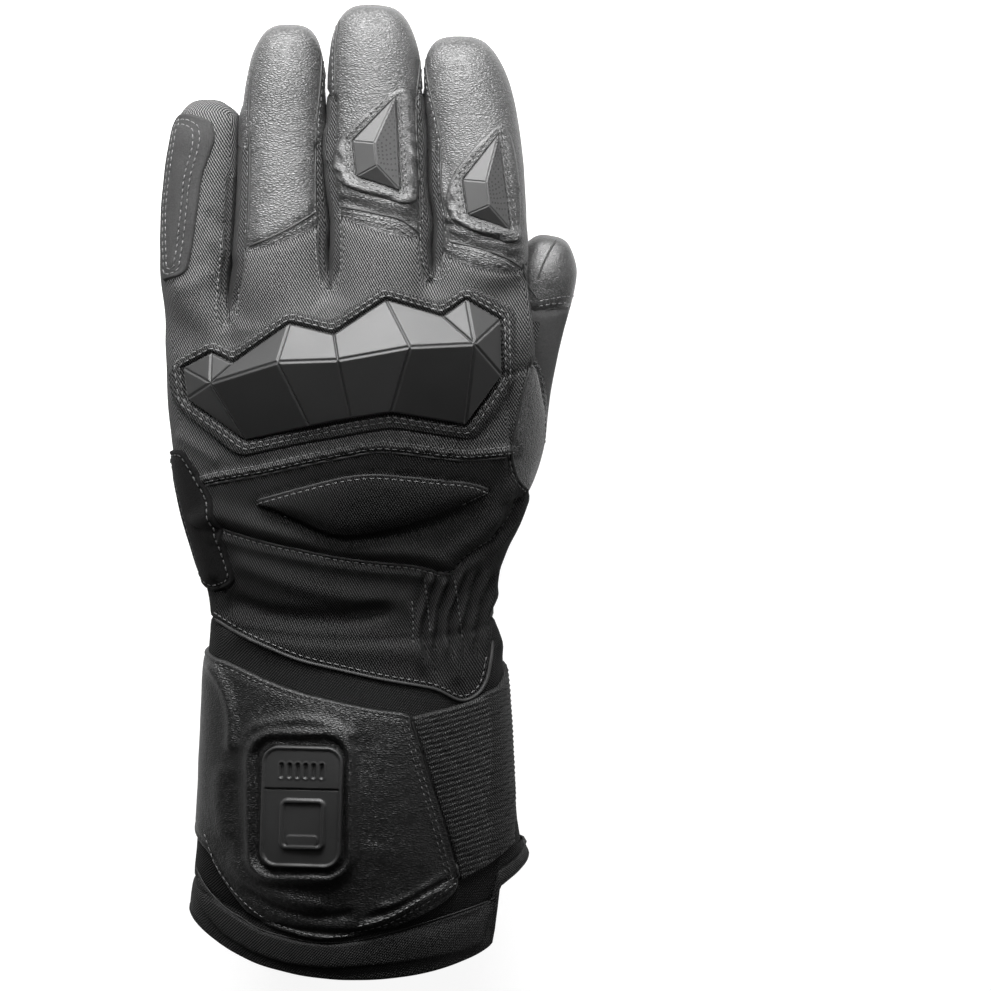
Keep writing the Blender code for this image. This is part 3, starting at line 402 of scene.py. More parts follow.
# ------------------------------------------------------------ plan and space
SHIFT = np.array([*ORIGIN, 0.0])
EYE, AXES = eye()
EYE = EYE - SHIFT


def to_px(points):
    """Plan places (photo pixels) of points in space, mm."""
    q = (np.asarray(points, float) - EYE) @ AXES
    return np.stack([MIDDLE + q[:, 0] / -q[:, 2] * DISTANCE / UNIT, MIDDLE - q[:, 1] / -q[:, 2] * DISTANCE / UNIT], 1)


def unit(a):
    a = np.asarray(a, float)
    return a / np.linalg.norm(a, axis=-1, keepdims=True).clip(1e-9)


def subdivide(points, faces):
    """One Catmull-Clark step on faces of four; each face's four children follow each other."""
    faces = np.asarray(faces)
    n = len(points)
    edges = np.stack([faces, np.roll(faces, -1, 1)], 2).reshape(-1, 2)
    pairs, inverse = np.unique(np.sort(edges, 1), axis=0, return_inverse=True)
    inverse = inverse.reshape(-1, 4)
    centre = points[faces].mean(1)
    count = np.bincount(inverse.ravel(), minlength=len(pairs))
    total = np.zeros((len(pairs), 3))
    np.add.at(total, inverse.ravel(), np.repeat(centre, 4, 0))
    middle = points[pairs].mean(1)
    edge_points = np.where((count == 2)[:, None], (points[pairs].sum(1) + total) / 4, middle)
    valence = np.bincount(faces.ravel(), minlength=n)[:, None]
    face_sum, mid_sum = np.zeros((n, 3)), np.zeros((n, 3))
    np.add.at(face_sum, faces.ravel(), np.repeat(centre, 4, 0))
    np.add.at(mid_sum, pairs[:, 0], middle)
    np.add.at(mid_sum, pairs[:, 1], middle)
    degree = np.bincount(pairs.ravel(), minlength=n)[:, None]
    moved = (face_sum / valence + 2 * mid_sum / degree + (valence - 3) * points) / valence
    rim = pairs[count == 1]
    if len(rim):
        beside = np.zeros((n, 3))
        np.add.at(beside, rim[:, 0], points[rim[:, 1]])
        np.add.at(beside, rim[:, 1], points[rim[:, 0]])
        on_rim = np.bincount(rim.ravel(), minlength=n) > 0
        moved[on_rim] = (6 * points[on_rim] + beside[on_rim]) / 8
    all_points = np.concatenate([moved, edge_points, centre])
    e = inverse + n
    f = np.arange(len(faces)) + n + len(pairs)
    children = [np.stack([faces[:, i], e[:, i], f, e[:, i - 1]], 1) for i in range(4)]
    return all_points, np.stack(children, 1).reshape(-1, 4)


def vertex_normals(points, faces):
    faces = np.asarray(faces)
    n = np.zeros_like(points)
    if faces.shape[1] == 4:
        cross = np.cross(points[faces[:, 2]] - points[faces[:, 0]], points[faces[:, 3]] - points[faces[:, 1]])
    else:
        cross = np.cross(points[faces[:, 1]] - points[faces[:, 0]], points[faces[:, 2]] - points[faces[:, 0]])
    for k in range(faces.shape[1]):
        np.add.at(n, faces[:, k], cross)
    return unit(n)


def triangles(faces):
    faces = np.asarray(faces)
    return faces if faces.shape[1] == 3 else np.concatenate([faces[:, [0, 1, 2]], faces[:, [0, 2, 3]]])


def curve(points, closed=False, per=6):
    """A smooth line through points, Catmull-Rom."""
    p = np.asarray(points, float)
    n = len(p)
    out = []
    for i in range(n if closed else n - 1):
        a, b, c, d = (p[(i - 1) % n], p[i], p[(i + 1) % n], p[(i + 2) % n]) if closed else (
            p[max(i - 1, 0)], p[i], p[i + 1], p[min(i + 2, n - 1)])
        for t in np.arange(per) / per:
            out.append(0.5 * (2 * b + (c - a) * t + (2 * a - 5 * b + 4 * c - d) * t * t + (3 * b - a - 3 * c + d) * t ** 3))
    if not closed:
        out.append(p[-1])
    return np.array(out)


def resample(line, step, closed=False):
    p = np.asarray(line, float)
    if closed:
        p = np.concatenate([p, p[:1]])
    along = np.concatenate([[0], np.cumsum(np.linalg.norm(np.diff(p, axis=0), axis=1))])
    n = max(2, int(round(along[-1] / step)) + 1)
    at = np.linspace(0, along[-1], n)
    out = np.stack([np.interp(at, along, p[:, k]) for k in range(p.shape[1])], 1)
    return out[:-1] if closed else out


def line_distance(places, line, closed=False):
    """Distance to a line on the plan, the share along it, and which side (positive: left of its run, v down)."""
    p = np.asarray(line, float)
    q = np.concatenate([p[1:], p[:1]]) if closed else p[1:]
    p = p if closed else p[:-1]
    best = np.full(len(places), 1e9)
    share, side = np.zeros(len(places)), np.zeros(len(places))
    lengths = np.linalg.norm(q - p, axis=1)
    starts = np.concatenate([[0], np.cumsum(lengths)])
    for i in range(len(p)):
        d = q[i] - p[i]
        t = ((places - p[i]) @ d / max(d @ d, 1e-9)).clip(0, 1)
        near = p[i] + t[:, None] * d
        gap = places - near
        dist = np.hypot(gap[:, 0], gap[:, 1])
        take = dist < best
        best[take] = dist[take]
        share[take] = (starts[i] + t[take] * lengths[i]) / starts[-1]
        side[take] = np.sign(d[0] * gap[take, 1] - d[1] * gap[take, 0])
    return best, share, side


def inside(places, ring):
    x, y = places[:, 0], places[:, 1]
    p = np.asarray(ring, float)
    q = np.roll(p, -1, 0)
    odd = np.zeros(len(places), bool)
    for (ax, ay), (bx, by) in zip(p, q):
        if ay == by:
            continue
        hit = ((ay > y) != (by > y)) & (x < (bx - ax) * (y - ay) / (by - ay) + ax)
        odd ^= hit
    return odd


def ring_distance(places, ring):
    """Distance to a closed outline, positive inside."""
    d = line_distance(places, ring, True)[0]
    return np.where(inside(places, ring), d, -d)


def smooth_step(x, low, high):
    t = ((x - low) / (high - low)).clip(0, 1)
    return t * t * (3 - 2 * t)


# ------------------------------------------------------------------- the skin
LEVELS = 3
SKIN_P, SKIN_F = np.array(VERTS), np.array(FACES)
for _ in range(LEVELS):
    SKIN_P, SKIN_F = subdivide(SKIN_P, SKIN_F)
SKIN_TAG = np.repeat(np.arange(len(FACES)), 4 ** LEVELS)
INNER_P, INNER_F = np.array(VERTS), np.array(FACES)
for _ in range(2):
    INNER_P, INNER_F = subdivide(INNER_P, INNER_F)

REGION = np.array([t[0] for t in TAGS])
ROW = np.array([t[1] for t in TAGS])
COLUMN = np.array([t[2] for t in TAGS])
PIECE = np.array([piece_of(*t) for t in TAGS], dtype="U24")

facing0 = np.einsum("ij,ij->i", vertex_normals(SKIN_P, SKIN_F), unit(EYE - SKIN_P))
CAGE_FACING = facing0[SKIN_F].mean(1).reshape(len(FACES), -1).mean(1)
for finger, back_piece in (("ring", "finger_back_ring"), ("middle", "finger_back_middle"), ("index", "finger_back_index"), ("little", "hand_back")):
    PIECE[(REGION == finger) & (PIECE == "palm") & (CAGE_FACING > -0.12)] = back_piece

# Lines on the plan, in photo pixels.
WELT = [(196, 482), (215, 477), (260, 469), (300, 460), (340, 452), (375, 446), (400, 447), (440, 452), (470, 454), (514, 450)]
LENS = [(257, 501), (300, 489), (340, 479), (370, 475), (400, 477), (440, 481), (470, 484), (488, 490), (460, 505),
        (430, 518), (400, 528), (360, 536), (330, 534), (300, 521), (275, 510)]
DIAGONAL = [(218, 528), (260, 541), (300, 550), (340, 558), (380, 563), (405, 565), (423, 568), (440, 573), (453, 573),
            (462, 561), (480, 548), (495, 538), (508, 520), (518, 500)]
TWILL_EDGE = [(190, 600), (213, 617), (240, 634), (270, 648), (300, 660), (340, 670), (380, 679), (420, 686), (437, 690),
              (455, 699), (466, 700), (478, 693), (486, 680), (490, 660), (492, 640), (494, 615)]
GUARD_RIM = [(184, 368), (212, 353), (233, 364), (290, 324), (334, 335), (386, 300), (443, 317), (466, 300),
             (500, 320), (501, 375), (465, 424), (391, 412), (351, 418), (310, 426), (246, 440), (188, 398)]
FRAME_RIM = [(169, 367), (206, 340), (231, 350), (287, 310), (331, 320), (384, 285), (441, 302), (466, 284),
             (515, 308), (516, 381), (473, 440), (432, 434), (391, 428), (312, 442), (240, 457), (175, 405)]

PX = to_px(SKIN_P)
NORMAL = vertex_normals(SKIN_P, SKIN_F)
FACING = np.einsum("ij,ij->i", NORMAL, unit(EYE - SKIN_P))
SKIN_REGION = np.zeros(len(SKIN_P), "U8")
SKIN_REGION[SKIN_F.ravel()] = np.repeat(REGION[SKIN_TAG], 4)
BODY = SKIN_REGION == "body"
BACK = FACING > 0.02
# the plan as seen through the glove from below, drawn at a height of 46 mm
LOW_PX = to_px(SKIN_P * [1, 1, 0] + [0, 0, 46.0])


def seam_lines():
    """Edges of the skin where two sewn pieces meet."""
    piece = np.where(PIECE == "thumb_cap", "thumb_back", PIECE)[SKIN_TAG]
    edges = np.stack([SKIN_F, np.roll(SKIN_F, -1, 1)], 2).reshape(-1, 2)
    owner = np.repeat(piece, 4)
    key = np.sort(edges, 1)
    order = np.lexsort((key[:, 1], key[:, 0]))
    key, owner = key[order], owner[order]
    same = (key[1:] == key[:-1]).all(1) & (owner[1:] != owner[:-1])
    return key[1:][same]


SEAM_EDGES = seam_lines()


def seam_distance():
    """Distance of each skin vertex to the nearest seam, mm, up to 8."""
    spots = np.unique(SEAM_EDGES)
    tree = KDTree(len(spots))
    for i, s in enumerate(spots):
        tree.insert(SKIN_P[s], i)
    tree.balance()
    return np.array([min(tree.find(p)[2], 8.0) for p in SKIN_P])


SEAM_D = seam_distance()
RISE = np.zeros(len(SKIN_P))      # how far the skin is pushed out, mm


def near(line, reach, where=BACK, closed=False):
    """Skin vertices near a plan line: indices, distance mm, share along it, signed distance mm."""
    p = np.asarray(line, float)
    lo, hi = p.min(0) - reach / UNIT, p.max(0) + reach / UNIT
    ids = np.where(where & (PX > lo).all(1) & (PX < hi).all(1))[0]
    d, share, side = line_distance(PX[ids], p, closed)
    d = d * UNIT
    ok = d < reach
    return ids[ok], d[ok], share[ok], (d * side)[ok]


def ridge(line, height, width, where=None, fade=0.12, offset=0.0):
    """A rounded ridge, or a furrow, along a plan line, fading at its ends."""
    ids, d, share, signed = near(curve(line), width * 3.2 + abs(offset), BACK & BODY if where is None else where)
    ends = smooth_step(share, -0.001, fade) * smooth_step(1 - share, -0.001, fade) if fade else 1.0
    RISE[ids] += height * np.exp(-((signed - offset) / width) ** 2) * ends


# every seam lies in a shallow valley between puffed pieces
puff = np.where(np.isin(SKIN_REGION, ["body"]), 0.35, 0.30)
RISE += puff * np.tanh(SEAM_D / 3.5) - 0.75 * np.exp(-(SEAM_D / 0.9) ** 2)

# the welt below the knuckle guard
ids, d, share, s = near(curve(WELT), 9.0, BACK & BODY)
RISE[ids] += (1.0 * np.exp(-(s / 1.5) ** 4) - 0.75 * np.exp(-((np.abs(s) - 2.1) / 0.6) ** 2)) * smooth_step(share, 0, 0.03)
# the padded lens with its crisp upper edge
ids = np.where(BACK & BODY & (PX > [225, 455]).all(1) & (PX < [520, 575]).all(1))[0]
depth = ring_distance(PX[ids], curve(LENS, True, 4)) * UNIT
lens = np.sqrt(1 - (1 - (depth / 8.0).clip(0, 1)) ** 2)
lower = smooth_step(PX[ids][:, 1], 470, 530)
RISE[ids] += lens * (2.4 + 1.4 * lower) * (depth > 0) - 0.8 * np.exp(-((depth + 0.4) / 0.8) ** 2)
RISE[ids] -= 1.5 * np.exp(-((depth + 2.2) / 2.2) ** 2) * smooth_step(PX[ids][:, 1], 495, 525)
# the pad between the lens and the diagonal seam, which folds under at the seam
ids, d, share, s = near(curve(DIAGONAL), 14.0, BACK & BODY)
up = -s      # above the seam
RISE[ids] += 1.9 * np.exp(-((up - 5.0) / 3.2) ** 2) - 1.5 * np.exp(-(up / 0.9) ** 2) + 0.9 * np.exp(-((up + 2.6) / 1.5) ** 2)
# folds at the wrist
for line, height, width in (
        ([(228, 556), (262, 572), (310, 588), (360, 598), (405, 600)], 1.3, 3.2),
        ([(222, 596), (260, 612), (300, 618), (350, 617), (398, 606)], -2.3, 3.0),
        ([(225, 622), (270, 640), (330, 648), (400, 650), (440, 655)], 1.3, 4.2),
        ([(215, 575), (222, 590), (226, 606), (224, 618)], -1.4, 1.8),
        ([(400, 588), (412, 620), (417, 650), (424, 676)], 1.1, 1.8),
        ([(440, 640), (452, 662), (458, 684)], 0.9, 2.0), ([(424, 640), (436, 664), (440, 680)], -0.9, 1.5),
        # folds round the guard's frame and between the fingers
        ([(172, 330), (200, 318), (232, 330), (262, 316), (286, 296), (330, 306), (384, 270), (440, 286), (468, 268), (512, 286)], 1.1, 2.6),
        ([(236, 448), (310, 436), (392, 424), (470, 436), (508, 402)], -1.0, 2.2),
        ([(176, 432), (200, 448), (222, 462)], 0.9, 2.0),
        ([(186, 286), (204, 292), (218, 300)], -1.3, 2.0), ([(250, 300), (262, 284), (274, 262)], -1.5, 2.2),
        ([(350, 256), (366, 270), (374, 284)], -1.3, 2.2), ([(462, 268), (484, 278), (508, 286)], 1.0, 2.4),
        ([(486, 262), (504, 270), (516, 276)], -1.0, 1.6), ([(280, 296), (300, 280), (318, 290)], 1.0, 2.2),
        ([(494, 440), (505, 470), (500, 500), (488, 530)], 1.0, 2.2),
        ([(505, 500), (500, 522), (492, 545), (480, 560)], -0.8, 1.2)):
    ridge(line, height, width)
# elastic gathers on the thumb side of the wrist
ids = np.where(BACK & BODY & (PX[:, 0] > 408) & (PX[:, 0] < 505) & (PX[:, 1] > 560) & (PX[:, 1] < 668))[0]
x, y = PX[ids].T
bend = x + 4 * np.sin(y / 19.0) + 0.10 * (y - 600)
window = smooth_step(x, 412, 424) * smooth_step(-y, -662, -638) * smooth_step(y, 566, 582)
RISE[ids] += window * (1.35 * np.sin((bend - 421) * 2 * math.pi / 13.5) + 0.4 * np.sin(y / 7.3 + bend / 3.1) - 0.2)
# folds of the leather where it meets the twill on the middle and index finger
for finger, lines in {
        "middle": [([(334, 178), (352, 186), (380, 196), (420, 200)], 2.0, 1.3), ([(335, 190), (360, 197), (390, 205), (421, 212)], 1.9, 1.2),
                   ([(336, 184), (360, 191), (390, 200), (421, 206)], -1.6, 0.8), ([(338, 198), (362, 204), (392, 213), (421, 222)], -1.5, 0.8),
                   ([(330, 125), (330, 145), (334, 165)], 0.9, 1.8)],
        "index": [([(440, 213), (466, 226), (492, 234), (524, 236)], 2.0, 1.3), ([(446, 226), (470, 236), (496, 244), (524, 250)], 1.9, 1.2),
                  ([(444, 220), (470, 231), (496, 239), (524, 244)], -1.6, 0.8), ([(450, 234), (472, 242), (500, 250), (524, 259)], -1.5, 0.8),
                  ([(440, 165), (444, 190), (452, 204)], 0.9, 1.8)],
        "ring": [([(252, 220), (275, 214), (300, 204), (314, 196)], 0.5, 2.6), ([(252, 238), (270, 230), (290, 220), (314, 206)], 0.8, 1.4)],
        "little": [([(206, 212), (216, 222), (224, 230)], -0.8, 2.0), ([(172, 286), (190, 284), (214, 270)], 0.9, 2.6),
                   ([(208, 236), (218, 246), (224, 258)], 0.8, 2.0)]}.items():
    for line, height, width in lines:
        ridge(line, height, width, BACK & (SKIN_REGION == finger))
# the thumb cap's lower seam
ridge([(530, 311), (545, 310), (560, 308), (580, 306)], -0.9, 0.9, BACK & (SKIN_REGION == "thumb"), fade=0.0)
# soft unevenness of worn padding
wave = np.array([noise.noise(Vector(p) / 17.0) + 0.5 * noise.noise(Vector(p) / 7.5 + Vector((9, 3, 5))) for p in SKIN_P])
RISE += 0.28 * wave * np.tanh(SEAM_D / 3.0)
# creases across the palm side of the fingers and at the palm's bend
LOW = FACING < -0.05
for row_y, finger in ((88, "ring"), (112, "ring"), (96, "middle"), (122, "middle"), (90, "index"), (112, "index"), (86, "little"), (102, "little")):
    ids = np.where(LOW & (SKIN_REGION == finger) & (np.abs(SKIN_P[:, 1] - row_y) < 5))[0]
    RISE[ids] -= 0.6 * np.exp(-((SKIN_P[ids, 1] - row_y) / 1.2) ** 2)

def cut_hem(points):
    """The thumb side of the hem, cut shorter than the back's."""
    px = to_px(points)
    ids = np.where((px[:, 1] > 846) & (px[:, 0] > 480))[0]
    top_y = spot(500, 846, 40.0)[1] - SHIFT[1]
    drop = smooth_step(px[ids, 0], 490.0, 499.0) * smooth_step(points[ids, 2], 2.0, 12.0)
    points[ids, 1] += drop * (top_y - points[ids, 1]).clip(0) * 0.60


cut_hem(SKIN_P)
cut_hem(INNER_P)


def meet(line, left, right, top_fade=8.0, reach=3.0, apart=-0.10, most=2.2):
    """Fill the sides of two fingers out until they all but touch along the line between them."""
    p = np.asarray(line, float)
    for side, finger in ((-1, left), (1, right)):
        ids = np.where((SKIN_REGION == finger) & (PX[:, 1] > p[0, 1] - 12) & (PX[:, 1] < p[-1, 1] + 12))[0]
        away = (PX[ids, 0] - np.interp(PX[ids, 1], p[:, 1], p[:, 0])) * UNIT * side
        ids, away = ids[away < 14.0], away[away < 14.0]
        rows = np.arange(p[0, 1] - 12, p[-1, 1] + 13, 4.0)
        closest = np.array([away[np.abs(PX[ids, 1] - r) < 4.0].min() if (np.abs(PX[ids, 1] - r) < 4.0).any() else 9.0 for r in rows])
        closest = np.convolve(np.pad(closest, 2, mode="edge"), [0.1, 0.2, 0.4, 0.2, 0.1], "valid")
        near_y = np.interp(PX[ids, 1], rows, closest)
        fade = smooth_step(PX[ids, 1], p[0, 1] - 10, p[0, 1] + top_fade)
        push = (near_y - apart).clip(0, most) * fade * np.exp(-((away - near_y).clip(0) / reach) ** 2)
        SKIN_P[ids, 0] -= side * push
        edge = ids[(away - near_y < 2.0) & (fade > 0.15)]
        RISE[edge] = np.maximum(RISE[edge], 0.25)


GAPS = {"little_ring": [(240, 112), (238, 180), (236, 220), (233, 260), (230, 290), (228, 312)],
        "ring_middle": [(327, 120), (325, 160), (325, 175), (328, 200), (331, 220), (331, 240), (329, 260), (330, 275)],
        "middle_index": [(425, 100), (428, 140), (428, 180), (430, 200), (434, 220), (433, 240), (431, 255), (434, 267)]}
for pair, line in GAPS.items():
    meet(line, *pair.split("_"))

RISE[SKIN_P[:, 2] < 2.5] *= 0.25
BASE_P = SKIN_P.copy()
SKIN_P = SKIN_P + NORMAL * RISE[:, None]
SKIN_P[:, 2] = SKIN_P[:, 2].clip(0.02)
NORMAL = vertex_normals(SKIN_P, SKIN_F)
PX = to_px(SKIN_P)


# ------------------------------------------------------------------ materials
def new_material(name):
    made = bpy.data.materials.new(name)
    made.use_nodes = True
    tree = made.node_tree
    shader = tree.nodes["Principled BSDF"]
    return made, tree, shader


def node(tree, kind, **values):
    n = tree.nodes.new(kind)
    for key, value in values.items():
        if key in n.inputs:
            n.inputs[key].default_value = value
        else:
            setattr(n, key, value)
    return n


def link(tree, a, out, b, into):
    tree.links.new(a.outputs[out], b.inputs[into])


def mix(tree, kind, a, b, factor=None, clamp=False):
    """A Math node over two sockets or numbers."""
    n = node(tree, "ShaderNodeMath", operation=kind)
    n.use_clamp = clamp
    for k, v in enumerate((a, b)):
        if isinstance(v, (int, float)):
            n.inputs[k].default_value = v
        elif v is not None:
            tree.links.new(v, n.inputs[k])
    return n.outputs[0]


def place(tree, turn=(0, 0, 0), scale=(1, 1, 1)):
    """The piece's own coordinates, turned and scaled."""
    where = node(tree, "ShaderNodeTexCoord")
    move = node(tree, "ShaderNodeMapping")
    move.inputs["Rotation"].default_value = [math.radians(t) for t in turn]
    move.inputs["Scale"].default_value = scale
    link(tree, where, "Object", move, "Vector")
    return move.outputs["Vector"]


def laid_place(tree):
    """Flat places of cloth on the piece, taken along whichever way the surface faces."""
    where, facing = node(tree, "ShaderNodeTexCoord"), node(tree, "ShaderNodeNewGeometry")
    own, way = node(tree, "ShaderNodeSeparateXYZ"), node(tree, "ShaderNodeSeparateXYZ")
    link(tree, where, "Object", own, "Vector")
    link(tree, facing, "Normal", way, "Vector")
    ax, ay, az = (mix(tree, "ABSOLUTE", way.outputs[k], None) for k in range(3))
    front = mix(tree, "GREATER_THAN", ay, mix(tree, "MULTIPLY", mix(tree, "MAXIMUM", ax, az), 1.1))
    side = mix(tree, "MULTIPLY", mix(tree, "GREATER_THAN", ax, az), mix(tree, "SUBTRACT", 1.0, front))
    x, y, z = own.outputs[0], own.outputs[1], own.outputs[2]
    u = mix(tree, "ADD", x, mix(tree, "MULTIPLY", side, mix(tree, "SUBTRACT", z, x)))
    v = mix(tree, "ADD", y, mix(tree, "MULTIPLY", front, mix(tree, "SUBTRACT", z, y)))
    flat = node(tree, "ShaderNodeCombineXYZ")
    tree.links.new(u, flat.inputs[0])
    tree.links.new(v, flat.inputs[1])
    return flat.outputs[0]


def turned(tree, vector, turn):
    move = node(tree, "ShaderNodeMapping")
    move.inputs["Rotation"].default_value = (0, 0, math.radians(turn))
    tree.links.new(vector, move.inputs["Vector"])
    return move.outputs["Vector"]


def noise_of(tree, vector, scale, detail=3.0, rough=0.55, distortion=0.0):
    n = node(tree, "ShaderNodeTexNoise", Scale=scale, Detail=detail, Roughness=rough, Distortion=distortion)
    tree.links.new(vector, n.inputs["Vector"])
    return n.outputs["Fac"]


def cells(tree, vector, scale, feature="F1"):
    n = node(tree, "ShaderNodeTexVoronoi", feature=feature, Scale=scale)
    tree.links.new(vector, n.inputs["Vector"])
    return n.outputs["Distance"]


def bands(tree, vector, period, distortion=0.0, direction="X"):
    n = node(tree, "ShaderNodeTexWave", wave_type="BANDS", bands_direction=direction, Distortion=distortion, Detail=0.0)
    n.inputs["Scale"].default_value = 2 * math.pi / 20 / period
    tree.links.new(vector, n.inputs["Vector"])
    return n.outputs["Fac"]


def ramp(tree, value, stops):
    n = node(tree, "ShaderNodeValToRGB")
    elements = n.color_ramp.elements
    while len(elements) > len(stops):
        elements.remove(elements[-1])
    while len(elements) < len(stops):
        elements.new(1.0)
    for element, (at, colour) in zip(elements, stops):
        element.position = at
        element.color = (*colour, 1.0)
    tree.links.new(value, n.inputs["Fac"])
    return n.outputs["Color"]


def grey(g, warm=0.0):
    return (g * (1 + warm), g, g * (1 - warm))


def bump(tree, shader, *layers):
    """Heights stacked as bumps: (socket, strength, distance m)."""
    last = None
    for value, strength, distance in layers:
        n = node(tree, "ShaderNodeBump", Strength=strength, Distance=distance)
        tree.links.new(value, n.inputs["Height"])
        if last:
            tree.links.new(last, n.inputs["Normal"])
        last = n.outputs["Normal"]
    tree.links.new(last, shader.inputs["Normal"])


def colour_from(tree, shader, value, low, high):
    tree.links.new(ramp(tree, value, [(0.25, low), (0.78, high)]), shader.inputs["Base Color"])


def rough_from(tree, shader, value, low, high):
    n = node(tree, "ShaderNodeMapRange")
    n.inputs["To Min"].default_value = low
    n.inputs["To Max"].default_value = high
    tree.links.new(value, n.inputs["Value"])
    tree.links.new(n.outputs["Result"], shader.inputs["Roughness"])


def cloth(name, tone, turn=-30.0, period=0.00074, depth=1.0, rough=0.78, sheen=0.12, spec=0.28):
    """Twill: fine diagonal ribs broken by the crossing yarn."""
    made, tree, shader = new_material(name)
    laid = laid_place(tree)
    ribs = bands(tree, turned(tree, laid, turn), period, 0.35)
    cross = bands(tree, turned(tree, laid, turn + 65.0), period * 1.25, 0.4)
    yarn = mix(tree, "MULTIPLY", ribs, mix(tree, "ADD", mix(tree, "MULTIPLY", cross, 0.5), 0.5))
    fibre = noise_of(tree, place(tree), 2600.0, 2.0)
    wear = noise_of(tree, place(tree), 26.0, 4.0, 0.6)
    shade = mix(tree, "ADD", mix(tree, "MULTIPLY", yarn, 0.95), mix(tree, "MULTIPLY", wear, 0.25))
    colour_from(tree, shader, mix(tree, "ADD", shade, mix(tree, "MULTIPLY", mix(tree, "SUBTRACT", fibre, 0.5), 0.3)),
                grey(tone * 0.12), grey(tone * 2.7))
    rough_from(tree, shader, wear, rough - 0.06, rough + 0.08)
    shader.inputs["Specular IOR Level"].default_value = spec
    shader.inputs["Sheen Weight"].default_value = sheen
    shader.inputs["Sheen Roughness"].default_value = 0.45
    bump(tree, shader, (wear, 0.25, 0.0006), (yarn, 0.9 * depth, 0.00022), (fibre, 0.25 * depth, 0.00006))
    return made


def leather(name, tone, grain=900.0, depth=1.0, rough=0.44, spec=0.5, wrinkle=(190, 70, 190), wrinkles=0.6, turn=0.0):
    """Grained leather: pebbles parted by fine creases, with stretched wrinkles across them."""
    made, tree, shader = new_material(name)
    own = place(tree)
    wavy = node(tree, "ShaderNodeTexNoise", Scale=420.0, Detail=2.0)
    tree.links.new(own, wavy.inputs["Vector"])
    push = node(tree, "ShaderNodeVectorMath", operation="MULTIPLY_ADD")
    push.inputs[1].default_value = (0.0005, 0.0005, 0.0005)
    tree.links.new(wavy.outputs["Color"], push.inputs[0])
    tree.links.new(place(tree, (0, 0, turn), (0.64, 1.45, 1.0)), push.inputs[2])
    crease = cells(tree, push.outputs[0], grain, "DISTANCE_TO_EDGE")
    pebble = mix(tree, "MINIMUM", mix(tree, "MULTIPLY", crease, 2.8), 1.0)
    stretch = node(tree, "ShaderNodeMapping")
    stretch.inputs["Scale"].default_value = [w / 100.0 for w in wrinkle]
    stretch.inputs["Rotation"].default_value = (0, 0, math.radians(turn))
    where = node(tree, "ShaderNodeTexCoord")
    link(tree, where, "Object", stretch, "Vector")
    fold = noise_of(tree, stretch.outputs[0], 330.0, 5.0, 0.62, 0.6)
    worn = noise_of(tree, own, 34.0, 4.0, 0.6)
    mixed = mix(tree, "ADD", mix(tree, "MULTIPLY", pebble, 0.6), mix(tree, "ADD", mix(tree, "MULTIPLY", fold, 0.25),
                                                                     mix(tree, "MULTIPLY", worn, 0.2)))
    colour_from(tree, shader, mixed, grey(tone * 0.3), grey(tone * 1.5))
    rough_from(tree, shader, mix(tree, "ADD", mix(tree, "MULTIPLY", fold, 0.6), mix(tree, "MULTIPLY", worn, 0.4)), rough - 0.09, rough + 0.13)
    shader.inputs["Specular IOR Level"].default_value = spec
    bump(tree, shader, (worn, 0.22, 0.0012), (fold, wrinkles, 0.0006), (pebble, 0.6 * depth, 0.00014))
    return made


def brushed(name, tone, scale=1500.0, depth=1.0, rough=0.9, sheen=0.25, spec=0.2, blotch=0.4):
    """Suede, softshell and pile: a nap of fine fibres with soft blotches."""
    made, tree, shader = new_material(name)
    own = place(tree)
    nap = noise_of(tree, own, scale, 3.0, 0.7)
    soft = noise_of(tree, own, 60.0, 4.0, 0.6)
    value = mix(tree, "ADD", mix(tree, "MULTIPLY", nap, 1 - blotch), mix(tree, "MULTIPLY", soft, blotch))
    colour_from(tree, shader, value, grey(tone * 0.45), grey(tone * 1.6))
    rough_from(tree, shader, soft, rough - 0.08, min(rough + 0.06, 1.0))
    shader.inputs["Specular IOR Level"].default_value = spec
    shader.inputs["Sheen Weight"].default_value = sheen
    shader.inputs["Sheen Roughness"].default_value = 0.5
    bump(tree, shader, (soft, 0.25, 0.0008), (nap, 0.6 * depth, 0.0002))
    return made


def moulded_look(name, tone, rough=0.42, spec=0.5, speckle=0.35):
    """Moulded guard and rubber: a fine matt texture with a slight cast unevenness."""
    made, tree, shader = new_material(name)
    own = place(tree)
    fine = noise_of(tree, own, 3800.0, 2.0, 0.6)
    broad = noise_of(tree, own, 45.0, 3.0, 0.5)
    value = mix(tree, "ADD", mix(tree, "MULTIPLY", fine, 0.4), mix(tree, "MULTIPLY", broad, 0.6))
    colour_from(tree, shader, value, grey(tone * 0.72), grey(tone * 1.28))
    rough_from(tree, shader, broad, rough - 0.05, rough + 0.07)
    shader.inputs["Specular IOR Level"].default_value = spec
    bump(tree, shader, (broad, 0.06, 0.001), (fine, speckle, 0.00005))
    return made


def thread_look(name, tone):
    made, tree, shader = new_material(name)
    twist = bands(tree, place(tree, (0, 0, 40)), 0.00032)
    tint = noise_of(tree, place(tree), 240.0, 2.0)
    colour_from(tree, shader, mix(tree, "ADD", mix(tree, "MULTIPLY", twist, 0.5), mix(tree, "MULTIPLY", tint, 0.5)), grey(tone * 0.6), grey(tone * 1.5))
    rough_from(tree, shader, tint, 0.5, 0.65)
    bump(tree, shader, (twist, 0.5, 0.00008))
    return made


